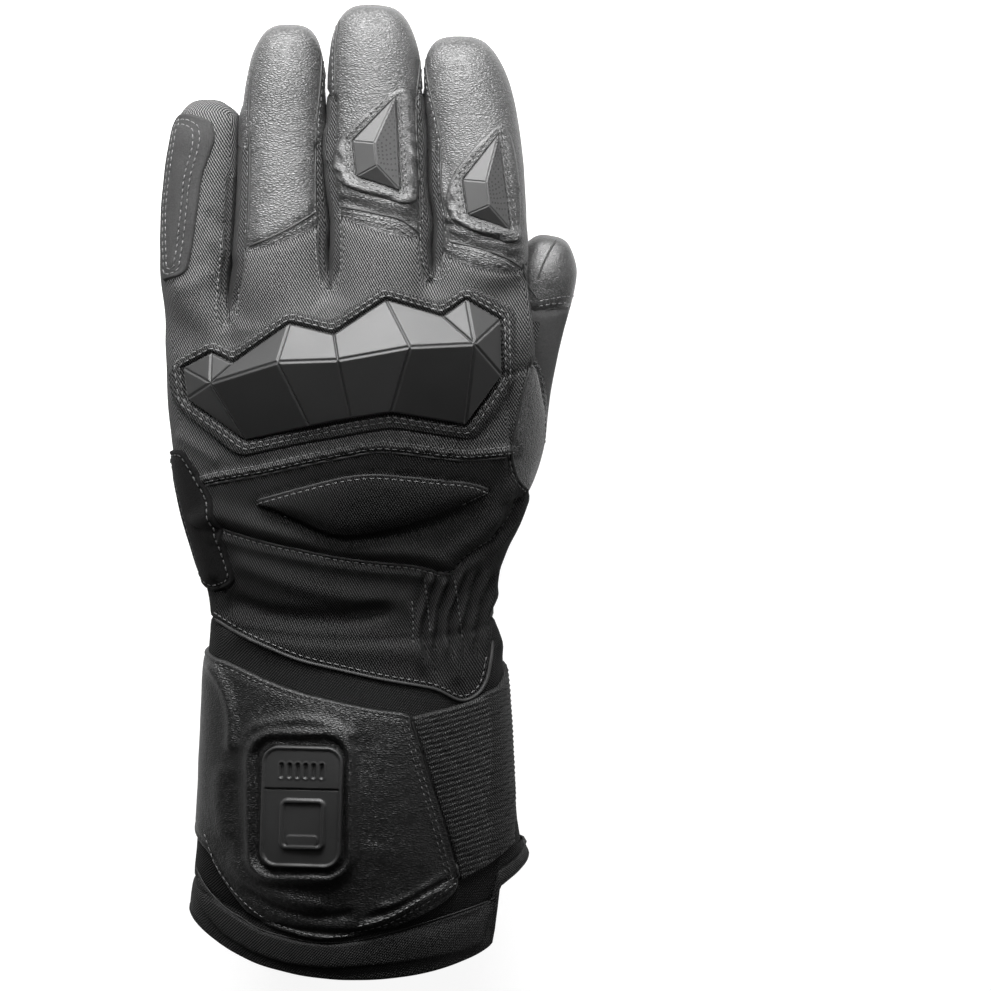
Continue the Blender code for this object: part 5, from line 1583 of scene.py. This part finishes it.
# the two finger guards, each in a stitched leather frame
FINGER_RIMS = {
    "middle": ([(395, 97), (353, 141), (357, 176), (400, 190)], [(374, 143), (377, 165)],
               [(399, 88), (380, 101), (362, 116), (345, 134), (336, 148), (333, 164), (338, 180), (356, 191), (382, 198), (404, 204),
                (416, 199), (418, 170), (418, 130), (415, 103), (408, 91)]),
    "index": ([(498, 135), (463, 180), (468, 214), (510, 229)], [(486, 182), (489, 205)],
              [(499, 125), (480, 141), (460, 164), (449, 184), (446, 204), (452, 220), (472, 231), (492, 238), (510, 243), (519, 238),
               (520, 215), (518, 180), (514, 152), (508, 132)])}
for finger, (rim, inner, outline) in FINGER_RIMS.items():
    outer = curve(outline, True, 4) * UNIT
    inner_ring = grow_ring(np.array(rim, float), 0.9) * UNIT
    loop_line = np.concatenate([inner_ring, inner_ring[:1]])

    def rise(places, depth, outer=outer, inner_ring=inner_ring, loop_line=loop_line):
        inn = -ring_distance(places, inner_ring)
        o = ring_distance(places, outer)
        share = line_distance(places, fine_ring(inner_ring, 0.5), True)[1]
        turn = share * 46.0
        crease = np.array([noise.noise(Vector((t * 0.55 + d * 0.42, d * 0.16, 3.0))) for t, d in zip(turn, inn)])
        h = 1.6 * np.sqrt(1 - (1 - (o / 2.2).clip(0, 1)) ** 2) * (0.42 + 0.58 * smooth_step(inn, 0.4, 3.4))
        h -= 0.22 * np.exp(-((inn - 1.25) / 0.34) ** 2) + 0.28 * np.exp(-((inn - 2.55) / 0.34) ** 2)
        return h + 1.15 * crease * smooth_step(inn, 2.4, 4.0) * smooth_step(o, 0.2, 1.6)

    panel("finger_frame_" + finger, PHOTO, outer, rise, LEATHER_FRAME, slot="leather", step=0.62, hole=inner_ring, crisp=True,
          insets=(0.3, 0.7, 1.2, 1.7), soft=0.5)
    for by in (3.7, 7.5):
        ring = soften(grow_ring(np.array(rim, float), by), 3)
        stitch_line(np.concatenate([ring, ring[:1]]), smooth=False, pitch=2.3, length=1.6, radius=0.25, into=STITCHES_DARK)
    a, b = inner
    # facets: top left, left, bottom, and the long one on the thumb side
    faceted("finger_guard_shell_" + finger, rim, [(a[0], a[1], 4.9), (b[0], b[1], 4.5)],
            [(0, 1, 4), (1, 2, 5, 4), (2, 3, 5), (3, 0, 4, 5)], 2.5, GUARD_FINGER, "finger_guard_" + finger, groove=0.3, lift=0.3, bevel=0.12,
            deep=3.0, free=(0, 1, 2, 3))

# dots pressed into the guards' thumb side facets: nearly flat discs whose dark colour is painted shade in the dimples
DOTS = Joined()
GUARDS = [Surface(np.array([v.co for v in o.data.vertices]) * 1000.0, np.array([t.vertices[:] for t in (o.data.calc_loop_triangles() or o.data.loop_triangles)]))
          for o in bpy.data.objects if o.name.startswith("finger_guard_shell_")]
for finger, (rim, inner, outline) in FINGER_RIMS.items():
    a, b, c, d = (np.array(q, float) for q in (rim[0], rim[3], inner[0], inner[1]))
    for i in range(13):
        for j in range(5):
            t, s = (i + 0.7 + 0.5 * (j % 2)) / 14.4, (j + 0.8) / 5.6
            q = (a + (b - a) * t) * s + (1 - s) * (a + (c - a) * min(1, t * 2.0) if t < 0.5 else c + (d - c) * (t - 0.5) * 2 * 0.9 + (b - d) * max(0, t - 0.8))
            if abs(s - 0.9) < 0.12 and (t < 0.12 or t > 0.93):
                continue
            p, n, ok = cast(*PHOTO.rays([q * UNIT]), GUARDS)
            if not ok[0]:
                continue
            side = unit(np.cross(n[0], [0.3, 1, 0.2]))
            up = np.cross(n[0], side)
            r = 0.30
            ring = [p[0] + n[0] * 0.04 + (math.cos(k * math.pi / 3) * side + math.sin(k * math.pi / 3) * up) * r for k in range(6)]
            DOTS.add([*ring, p[0] - n[0] * 0.06], [(k, (k + 1) % 6, 6) for k in range(6)])
DOTS.make("guard_dots", DOT_PAINTED_SHADE, slot="moulded_guard")

# ------------------------------------------------------------- seams and rows
# the lens, its twill painted darker than the back's: painted shade below the knuckle guard
lens_ring = curve(LENS, True, 4) * UNIT
panel("lens_cover", PHOTO, lens_ring, rolled(0.35, 0.5, rows=(1.5,), dip=0.25), TWILL_LENS_PAINTED_SHADE, slot="twill", stands_for=("lens_pad",), step=1.3,
      insets=(0.3, 0.7, 1.2, 1.8), bury=0.35, soft=0.6)
top_edge = [(257, 501), (300, 489), (340, 479), (370, 475.5), (400, 477), (440, 481), (470, 484), (488, 490)]
pipe(PIPES, top_edge, radius=0.42)
stitch_line(offset_line(curve(top_edge), 3.2), smooth=False, pitch=2.5, length=1.7, radius=0.24, into=STITCHES)
stitch_line([(262, 505), (275, 512), (286, 517)], pitch=2.4, length=1.6, radius=0.22, into=STITCHES_DARK)
stitch_line([(487, 493), (475, 498.5), (464, 504)], pitch=2.4, length=1.6, radius=0.24, into=STITCHES)
# the welt
stitch_line(offset_line(curve(WELT), -3.6), smooth=False, pitch=2.5, length=1.8, radius=0.26)
pipe(PIPES, offset_line(curve(WELT), 6.2), radius=0.42, smooth=False)
stitch_line(offset_line(curve(WELT), 3.0), smooth=False, pitch=2.5, length=1.8, radius=0.22, into=STITCHES_DARK)
# the diagonal seam
pipe(PIPES, DIAGONAL[:10], radius=0.40)
stitch_line(offset_line(curve(DIAGONAL[:8]), 2.8), smooth=False, pitch=2.4, length=1.6, radius=0.24)
stitch_line(offset_line(curve(DIAGONAL[7:]), -2.0), smooth=False, pitch=2.4, length=1.6, radius=0.22, into=STITCHES_DARK)
# the twill's piped edge over the cuff
pipe(PIPES, TWILL_EDGE[1:-1], radius=0.62, sink=0.1)
stitch_line(offset_line(curve(TWILL_EDGE[1:-2]), -4.4), smooth=False, pitch=2.5, length=1.8, radius=0.26)
# rows down the gathers
for line in ([(412, 603), (413, 622), (413, 642)], [(425, 580), (427, 600), (430, 630)], [(455, 582), (458, 604), (462, 636)]):
    stitch_line(line, pitch=2.2, length=1.2, radius=0.24, into=STITCHES_DARK)
# round the finger roots
CROTCHES = {
    "little": [(221, 240), (219, 270), (217, 292), (216, 312), (219, 322), (226, 326), (234, 322), (238, 308), (239, 290)],
    "ring": [(315, 205), (315, 240), (317, 265), (320, 282), (324, 289), (330, 291), (336, 288), (339, 280), (341, 262), (341, 240), (340, 205)],
    "middle": [(420, 222), (421, 250), (424, 266), (430, 275), (437, 280), (445, 276), (450, 264), (450, 250)]}
for line in CROTCHES.values():
    stitch_line(line, pitch=2.3, length=1.6, radius=0.24)
# rows below the leather of the three fingers
for edge, rows in (([(248, 246), (270, 237), (290, 227), (316, 211)], (5.5,)),
                   ([(341, 206), (362, 210), (380, 214), (400, 219), (419, 232)], (4.5, 9.0)),
                   ([(450, 241), (480, 248), (505, 257), (523, 268)], (4.5, 9.0))):
    for by in rows:
        stitch_line(offset_line(curve(edge), by), smooth=False, pitch=2.3, length=1.7, radius=0.24)
    pipe(PIPES, offset_line(curve(edge), 0.4), radius=0.36, smooth=False)
# seams along the fingers
FINGER_SEAMS = {
    "ring_left": [(252, 70), (250, 90), (249, 105), (249, 120)], "ring_left2": [(249, 126), (250, 160), (249, 200), (248, 232)],
    "ring_right": [(321, 52), (321, 70), (319, 95), (316, 120)], "ring_right2": [(316, 126), (315, 160), (315, 205)],
    "middle_left": [(340, 20), (337, 32), (335, 50), (335, 75), (336, 98)],
    "middle_right": [(420, 60), (418, 80), (416, 100), (416, 130), (419, 180), (420, 222)],
    "index_left": [(426, 50), (426, 62), (428, 80), (431, 95), (435, 110), (438, 125), (441, 140)],
    "index_left2": [(441, 146), (441, 180), (443, 200), (446, 215), (449, 240)]}
for key, line in FINGER_SEAMS.items():
    bright = key in ("index_left", "middle_left")
    pipe(PIPES, line, radius=0.34, sink=0.25)
    stitch_line(offset_line(curve(line), 2.4 if "left" in key else -2.4), smooth=False, pitch=2.3, length=1.7, radius=0.24,
                into=STITCHES if bright else STITCHES_DARK)
# the outer seam from the index finger to the thumb
pipe(PIPES, OUTER[:4], radius=0.40, sink=0.3)
pipe(PIPES, OUTER[8:], radius=0.42, sink=0.25)
stitch_line(offset_line(curve(OUTER[9:]), 3.2), smooth=False, pitch=2.4, length=1.6, radius=0.22, into=STITCHES_DARK)

# ------------------------------------------------------------ patches, thumb
LITTLE = [(181, 116), (190, 114), (201, 117), (211, 122), (215, 135), (212, 150), (203, 175), (199, 200), (195, 230), (191, 255),
          (187, 270), (178, 277), (169, 279)]
p, n = on_skin(LITTLE)
flat = LEFT.flat(p)
lo_edge = LEFT.flat(on_skin([(171, 282), (169, 262), (168, 240), (168, 215), (170, 190), (173, 165), (176, 145), (179, 128)])[0])
lo_edge = lo_edge + np.array([-3.6, 0.0])
little_ring = curve(np.concatenate([flat, lo_edge]), True, 5)
panel("little_patch", LEFT, little_ring, rolled(1.15, 0.6, rows=(1.7, 3.3), dip=0.4, crown=0.35), SUEDE_PATCH, slot="leather",
      stands_for=("little_finger_patch",), step=1.1, soft="laid", lies_on=("skin_hand_back",))
for by in (1.7, 3.3):
    ring = inset_ring(little_ring, by)
    stitch_line(np.concatenate([ring, ring[:1]]), chart=LEFT, smooth=False, pitch=2.3, length=1.7, radius=0.24)
SIDE = [(181, 450), (190, 460), (200, 475), (208, 490), (213, 510), (225, 545), (234, 573), (233, 584), (222, 589), (213, 590)]
flat = LEFT.flat(on_skin(SIDE)[0])
low = LEFT.flat(on_skin([(208, 582), (204, 560), (196, 530), (188, 500), (180, 470), (177, 456)])[0]) + np.array([-6.0, 0.0])
side_ring = curve(np.concatenate([flat, low]), True, 5)
panel("side_patch_cover", LEFT, side_ring, rolled(1.3, 0.7, rows=(1.8,), dip=0.45, crown=0.5), SUEDE_DARK, slot="suede", stands_for=("side_patch",),
      soft="laid", lies_on=("skin_hand_back_low",))
ring = inset_ring(side_ring, 1.8)
stitch_line(np.concatenate([ring, ring[:1]]), chart=LEFT, smooth=False, pitch=2.4, length=1.7, radius=0.24)
# the thumb: cap seam, stitched band and the suede strip below it
pipe(PIPES, [(556, 240), (549, 252), (542, 267), (538, 279)], radius=0.35, sink=0.3)
stitch_line([(541, 301), (550, 299), (562, 297), (573, 296)], pitch=2.2, length=1.6, radius=0.24)
stitch_line([(541, 306), (552, 304), (564, 303), (574, 302)], pitch=2.2, length=1.6, radius=0.24)
pipe(PIPES, CAP_EDGE[1:], radius=0.30, sink=0.4)
stitch_line(offset_line(curve(SUEDE_EDGE[1:]), 2.6), smooth=False, pitch=2.3, length=1.6, radius=0.24, into=STITCHES_DARK)


# -------------------------------------------------------------------- the cuff
def front(line):
    return CUFF.flat(on_skin(line)[0])


def below(line, height=60.0):
    q = under(line, height)
    p, _, ok = cast(*UNDER.rays(q), [SKIN])
    return CUFF.flat(p[ok])


def turn_to(flat, at):
    """The same places, turned by whole rounds to lie near another place."""
    full = 2 * math.pi * CUFF.radius
    flat = flat.copy()
    flat[:, 0] += np.round((at - flat[:, 0]) / full) * full
    return flat


# leather panel round the little finger side
panel_front = front([(216, 657), (240, 667), (270, 681), (300, 692), (340, 702), (380, 710), (407, 714), (412, 728), (420, 750), (431, 785),
                     (442, 820), (452, 855), (457, 884), (440, 904), (400, 924), (370, 933), (340, 939), (320, 940), (290, 933), (262, 921),
                     (238, 899), (220, 872), (207, 848)])
panel_below = turn_to(below([(206, 852), (225, 861), (242, 852), (248, 802), (250, 747), (247, 719), (234, 702), (217, 686)]), -70.0)
cuff_ring = np.concatenate([soften(panel_front, 1.5, 3), panel_below])
cuff_ring = resample(curve(np.concatenate([panel_front, panel_below]), True, 4), 1.2, True)
unit_centre = np.array([304.5, 805.5]) * UNIT


def cuff_rise(places, depth):
    h = 1.3 * np.sqrt(1 - (1 - (depth / 0.8).clip(0, 1)) ** 2) - 0.35 * np.exp(-((depth - 2.0) / 0.4) ** 2)
    p, _, ok = cast(*CUFF.rays(places), [SKIN])
    q = to_px(p)
    # the raised rim round the control unit, and a fold above it
    sx, sy = np.abs(q[:, 0] - 301.5) - (44 - 20), np.abs(q[:, 1] - 805) - (67 - 20)
    d = (np.hypot(sx.clip(0), sy.clip(0)) + np.minimum(np.maximum(sx, sy), 0) - 20) * UNIT
    h += 1.7 * np.exp(-((d - 1.6) / 1.9) ** 2) - 1.2 * np.exp(-((d + 0.2) / 0.7) ** 2)
    d2, share, _ = line_distance(q, curve([(246, 744), (254, 728), (275, 722), (300, 720), (330, 724), (350, 734)]))
    h += 1.0 * np.exp(-(d2 * UNIT / 1.8) ** 2)
    # the ridge at the little finger side and folds at the lower end
    d3 = line_distance(q, curve([(216, 668), (228, 690), (234, 715), (234, 745)]))[0] * UNIT
    h += 1.6 * np.exp(-(d3 / 1.8) ** 2)
    for line, high, wide in (([(352, 927), (380, 919), (415, 901), (452, 882)], 1.1, 1.0), ([(362, 918), (390, 910), (420, 893), (450, 876)], -0.9, 0.8),
                             ([(372, 908), (400, 900), (425, 886), (446, 872)], 0.8, 1.0), ([(240, 880), (275, 905), (320, 916), (360, 912)], -0.8, 1.8),
                             ([(228, 850), (250, 880), (285, 898), (330, 904)], 0.8, 2.0), ([(238, 770), (240, 820), (250, 860)], -0.6, 2.0),
                             ([(360, 730), (372, 780), (376, 850)], -0.4, 4.0), ([(225, 760), (222, 800), (228, 840)], 0.8, 2.6)):
        dd, share, _ = line_distance(q, curve(line))
        h += high * np.exp(-(dd * UNIT / wide) ** 2) * smooth_step(share, 0, 0.15) * smooth_step(1 - share, 0, 0.1)
    return h


panel("cuff_leather", CUFF, cuff_ring, cuff_rise, LEATHER_CUFF, slot="leather", stands_for=("cuff_panel",), step=1.15, soft="laid",
      lies_on=("skin_cuff",))
stitch_line(offset_line(curve([(222, 663), (250, 676), (290, 694), (340, 706), (400, 717)]), 2.5), smooth=False, pitch=2.5, length=1.7,
            radius=0.24, into=STITCHES_DARK)
for by in (4.0, 8.5):
    stitch_line(offset_line(curve([(411, 722), (424, 765), (440, 820), (455, 876)]), by), smooth=False, pitch=2.5, length=1.7, radius=0.24,
                into=STITCHES_DARK)
for line in ([(352, 933), (385, 925), (420, 907), (455, 884)], [(360, 926), (390, 917), (420, 900), (452, 879)],
             [(205, 836), (216, 866), (236, 894), (262, 917), (292, 930), (322, 937), (345, 936)]):
    stitch_line(line, pitch=2.4, length=1.8, radius=0.26)

# the control unit: a rounded frame, a sunk plate with slots, a framed button
hu, hv, corner = 39.5 * UNIT, 61.0 * UNIT, 17.0 * UNIT
TILT = math.radians(-1.5)


def local(places):
    q = places - unit_centre
    return np.stack([q[:, 0] * math.cos(TILT) - q[:, 1] * math.sin(TILT), q[:, 0] * math.sin(TILT) + q[:, 1] * math.cos(TILT)], 1)


def box_depth(q, cx, cy, hx, hy, r):
    """Depth inside a rounded rectangle, mm, negative outside."""
    sx, sy = np.abs(q[:, 0] - cx) - (hx - r), np.abs(q[:, 1] - cy) - (hy - r)
    return -(np.hypot(sx.clip(0), sy.clip(0)) + np.minimum(np.maximum(sx, sy), 0) - r)


def unit_rise(places, depth):
    q = local(places)
    d = box_depth(q, 0, 0, hu, hv, corner)
    h = 3.6 * smooth_step(d, -0.1, 0.5)
    h -= 0.75 * smooth_step(d, 1.25, 1.6)                                  # inside the frame
    h += 0.35 * smooth_step(-q[:, 1], 6.05, 6.35) * smooth_step(d, 1.3, 1.7)   # the plate above the divider
    h -= 0.45 * np.exp(-((q[:, 1] + 6.0) / 0.22) ** 2) * smooth_step(d, 1.4, 1.8)
    for k in range(6):
        s = box_depth(q, (-19.5 + 7.6 * k) * UNIT, -36.0 * UNIT, 0.62, 2.5, 0.6)
        h -= 0.7 * smooth_step(s, -0.12, 0.22)
        h += 0.18 * np.exp(-((s + 0.35) / 0.25) ** 2)
    b = box_depth(q, 1.5 * UNIT, 17.0 * UNIT, 21.5 * UNIT, 25.0 * UNIT, 7.0 * UNIT)
    h += 0.85 * smooth_step(b, -0.2, 0.3) - 0.65 * smooth_step(b, 1.15, 1.5)
    t = np.minimum(box_depth(q, 1.5 * UNIT, 33.0 * UNIT, 15.0 * UNIT, 5.2 * UNIT, 1.2), 9.0)
    h += 0.35 * smooth_step(t, -0.15, 0.2)
    return h


ring = []
for k, (su, sv) in enumerate([(1, 1), (-1, 1), (-1, -1), (1, -1)]):
    for i in range(9):
        a = math.pi / 2 * (k + i / 8)
        x, y = su * (hu - corner) + corner * math.cos(a), sv * (hv - corner) + corner * math.sin(a)
        ring.append((x * math.cos(-TILT) - y * math.sin(-TILT), x * math.sin(-TILT) + y * math.cos(-TILT)))
unit_ring = resample(np.array(ring) + unit_centre, 0.6, True)
panel("control_unit", PHOTO, unit_ring, unit_rise, RUBBER, slot="rubber", stands_for=("control_housing", "control_button"), step=0.36,
      edge=0.5, insets=(0.15, 0.35, 0.6, 0.9), bury=0.5, on=[PLAIN])

# ribbed webbing over the thumb side, its end tab below
strap_front = front([(411, 717), (430, 712), (450, 707), (470, 700), (486, 692), (497, 686)])
strap_left = front([(459, 880), (453, 855), (443, 820), (432, 785), (420, 745)])
strap_low = front([(512, 842), (505, 850), (490, 862), (475, 871)])
strap_side = turn_to(below([(500, 698), (510, 760), (520, 838)], 60.0), 70.0)
strap_ring = fine_ring(np.concatenate([strap_front, strap_side[:1], strap_side[1:2], strap_side[2:], strap_low, strap_left]), 1.0)


def strap_rise(places, depth):
    h = 1.35 * np.sqrt(1 - (1 - (depth / 0.5).clip(0, 1)) ** 2)
    p, _, ok = cast(*CUFF.rays(places), [SKIN])
    q = to_px(p)
    lines = q[:, 1] + 0.30 * (q[:, 0] - 410) + 0.0012 * (q[:, 0] - 460) ** 2
    rib = np.abs(np.sin(lines * math.pi / 5.25))
    return h + (0.62 * rib ** 0.8 - 0.3) * smooth_step(depth, 0.2, 0.9)


panel("strap_webbing", CUFF, strap_ring, strap_rise, WEBBING, slot="webbing", stands_for=("cuff_strap",), step=0.62, edge=0.6,
      insets=(0.2, 0.5), soft="stretched", lies_on=("skin_cuff",))
pipe(PIPES, [(412, 719), (420, 745), (432, 785), (443, 820), (453, 855), (458, 878)], radius=0.55, sink=0.0)

# the hem: a bound band over the back, and its seam
HEM_SEAM = [(196, 866), (204, 884), (222, 905), (240, 917), (262, 930), (300, 940), (330, 943), (360, 940), (400, 930), (440, 918), (470, 908), (495, 898)]
hem_ring = front([(199, 872), (206, 886), (223, 906), (240, 918), (262, 931), (300, 941), (330, 944), (360, 941), (400, 931), (440, 919), (470, 909), (493, 900)])
hem_low = front([(493, 935), (480, 943), (461, 951), (430, 958), (380, 965), (330, 968), (290, 964), (254, 952), (224, 934), (207, 914), (199, 896)])
# the hem band's lighter softshell is painted light on a side that faces away from the lamps
panel("hem_cover", CUFF, resample(np.concatenate([hem_ring, hem_low]), 1.2, True), rolled(1.0, 0.9, crown=0.5, crown_at=6.0), HEM_PAINTED_LIGHT, slot="softshell",
      step=1.6, insets=(0.4, 1.0, 2.0), soft="folded", lies_on=("skin_hem_band",))
pipe(PIPES, HEM_SEAM, radius=0.3, sink=0.45)

# ------------------------------------------------------------ under the glove
def under_panel(name, outline, height, rise, look, slot, stands_for, smooth=3, soft="laid", lies_on=("skin_cuff",), **how):
    ring = under(outline, height)
    ring = resample(curve(ring, True, smooth) if smooth else fine_ring(ring, 1.0), 1.0, True)
    panel(name, UNDER, ring, rise, look, slot=slot, stands_for=stands_for, soft=soft, lies_on=lies_on, **how)
    return ring


def under_rows(ring, depths, into=STITCHES_DARK, **how):
    for by in depths:
        q = inset_ring(ring, by)
        stitch_line(np.concatenate([q, q[:1]]), chart=UNDER, smooth=False, pitch=2.4, length=1.7, radius=0.22, into=into, lift=0.02, **how)


ring = under_panel("loop_patch_cover", [(340, 706), (436, 704), (436, 822), (462, 860), (452, 878), (359, 876), (349, 812), (340, 748)], 60,
                   rolled(1.5, 0.6, rows=(1.6,), dip=0.4), LOOP, "loop_fabric", ("loop_patch",), smooth=0)
ring = under_panel("strap_tab_cover", [(450, 706), (500, 699), (503, 740), (510, 800), (516, 868), (490, 880), (466, 856), (446, 826),
                                       (444, 780), (449, 728)], 60, rolled(1.4, 0.6, rows=(1.6,), dip=0.4, crown=0.2), LEATHER_CUFF, "leather",
                   ("strap_tab",), smooth=0)
under_rows(ring, (1.6,))
ring = under_panel("wrist_tab_cover", [(332, 624), (408, 624), (415, 690), (337, 691)], 50, rolled(1.3, 0.6, rows=(1.6,), dip=0.4), LEATHER_CUFF,
                   "leather", ("wrist_tab",), smooth=0)
under_rows(ring, (1.6,))
ring = under_panel("hem_tab_cover", [(362, 884), (458, 884), (470, 900), (462, 926), (447, 940), (420, 948), (392, 949), (375, 942), (366, 924)],
                   64, rolled(1.3, 0.6, rows=(1.6,), dip=0.4), LEATHER_CUFF, "leather", ("hem_tab",))
under_rows(ring, (1.6,))
ring = under_panel("palm_patch_cover", [(226, 371), (250, 374), (283, 400), (322, 430), (343, 446), (341, 468), (335, 480), (327, 536), (320, 569),
                                        (316, 578), (262, 577), (207, 572), (192, 530), (186, 480), (190, 420)], 46,
                   rolled(1.2, 0.6, rows=(1.6, 3.2), dip=0.4), SUEDE_PATCH, "suede", ("palm_patch",), step=1.4, lies_on=("skin_palm",))
under_rows(ring, (1.6, 3.2), into=STITCHES)
ring = under_panel("palm_slider_cover", [(200, 468), (218, 480), (234, 487), (261, 491), (273, 496), (274, 512), (264, 525), (251, 528), (204, 525),
                                         (199, 495)], 46, rolled(2.0, 0.9, rows=(1.9,), dip=0.35, crown=0.3), GUARD, "moulded_guard", ("palm_slider",),
                   step=0.9, soft=None)
ring = under_panel("touch_patch_cover", [(430, 72), (440, 60), (460, 55), (480, 60), (490, 72), (497, 92), (501, 124), (426, 118), (426, 92)], 24,
                   rolled(0.8, 0.6, rows=(1.5,), dip=0.3), LEATHER_THUMB, "palm_leather", ("touch_patch",), lies_on=("skin_palm",))
under_rows(ring, (1.5,))


def palm_view(x, y):
    """Plan place of a place in the second glove's palm view."""
    return 371 + (x - 701) * 1.09, 4 + (y - 31) * 1.11


PALM_LINES = {
    "little": (24, [(521, 240), (521, 150), (530, 140), (545, 132), (560, 136), (570, 145), (576, 160), (577, 240)]),
    "ring": (24, [(598, 236), (596, 150), (597, 110), (600, 92), (610, 82), (625, 76), (640, 78), (650, 85), (657, 100), (659, 130), (661, 226)]),
    "middle": (24, [(675, 230), (672, 110), (676, 75), (685, 67), (700, 62), (715, 61), (725, 67), (733, 78), (735, 100), (738, 226)]),
    "index": (26, [(760, 232), (757, 160), (752, 137), (803, 137), (819, 137), (824, 180), (828, 226)]),
    "thenar": (46, [(783, 330), (750, 340), (730, 350), (712, 368), (705, 390), (703, 420), (705, 450), (710, 480), (718, 505), (735, 530), (750, 545)]),
    "hem": (44, [(547, 575), (600, 577), (650, 582), (700, 585), (740, 584), (780, 588), (808, 593)]),
    "thumb_foot": (40, [(742, 528), (750, 535), (780, 540), (805, 537), (816, 533)])}
for key, (height, line) in PALM_LINES.items():
    q = under([palm_view(*p) for p in line], height)
    pipe(PIPES, curve(q), radius=0.35, chart=UNDER, smooth=False, sink=0.35)
    stitch_line(offset_line(curve(q), 1.0), chart=UNDER, smooth=False, pitch=2.4, length=1.7, radius=0.22, into=STITCHES_DARK)
q = under([palm_view(*p) for p in [(547, 612), (600, 610), (650, 612)]], 44)
stitch_line(curve(q), chart=UNDER, smooth=False, pitch=2.4, length=1.7, radius=0.22, into=STITCHES_DARK)

PIPES.make("piping", PIPING, slot="twill")
STITCHES.make("stitches", THREAD, slot="twill")
STITCHES_DARK.make("stitches_dark", THREAD_DARK, slot="twill")


# ------------------------------------------------------- floor, light, camera
floor_mesh = bpy.data.meshes.new("floor")
floor_mesh.from_pydata([(-6, -6, 0), (6, -6, 0), (6, 6, 0), (-6, 6, 0)], [], [(0, 1, 2, 3)])
floor = bpy.data.objects.new("floor", floor_mesh)
bpy.context.scene.collection.objects.link(floor)
paper, tree, shader = new_material("floor_paper")
shader.inputs["Base Color"].default_value = (0.22, 0.22, 0.22, 1)
shader.inputs["Emission Color"].default_value = (1, 1, 1, 1)
shader.inputs["Emission Strength"].default_value = 0.90
shader.inputs["Roughness"].default_value = 0.9
shader.inputs["Specular IOR Level"].default_value = 0.1
floor_mesh.materials.append(paper)

world = bpy.data.worlds.new("studio")
bpy.context.scene.world = world
world.use_nodes = True
world.node_tree.nodes["Background"].inputs["Color"].default_value = (1.0, 1.0, 1.0, 1)
world.node_tree.nodes["Background"].inputs["Strength"].default_value = 0.03


def area(name, where, target, size, power, size_y, spread=180.0):
    light = bpy.data.lights.new(name, "AREA")
    light.energy = power
    light.shape = "RECTANGLE"
    light.size, light.size_y = size, size_y
    light.spread = math.radians(spread)
    lamp = bpy.data.objects.new(name, light)
    lamp.location = where
    lamp.rotation_euler = (Vector(target) - Vector(where)).to_track_quat("-Z", "Y").to_euler()
    lamp.visible_camera = False
    bpy.context.scene.collection.objects.link(lamp)


sun = bpy.data.lights.new("key", "SUN")
sun.energy = 0.35
sun.angle = math.radians(24)
key = bpy.data.objects.new("key", sun)
key.location = (-0.2, 1.0, 0.5)
key.rotation_euler = (-Vector(key.location)).to_track_quat("-Z", "Y").to_euler()
bpy.context.scene.collection.objects.link(key)
area("low_softbox", (-0.04, 0.42, 0.15), (0.0, 0.06, 0.04), 0.55, 15.5, 0.12)
area("finger_softbox", (-0.02, 0.26, 0.30), (0.0, 0.115, 0.03), 0.46, 1.05, 0.12, 62.0)
area("side_softbox", (0.45, 0.10, 0.30), (0.0, -0.05, 0.03), 0.15, 0.4, 0.4, 120.0)

camera_data = bpy.data.cameras.new("camera")
camera = bpy.data.objects.new("camera", camera_data)
matrix = Matrix(AXES.tolist()).to_4x4()
matrix.translation = Vector(EYE / 1000.0)
camera.matrix_world = matrix
camera_data.sensor_width = 36.0
camera_data.lens = DISTANCE / UNIT * 36.0 / 991.0
camera_data.clip_start, camera_data.clip_end = 0.05, 30.0
bpy.context.scene.collection.objects.link(camera)
bpy.context.scene.camera = camera
bpy.context.scene.view_settings.view_transform = "Standard"
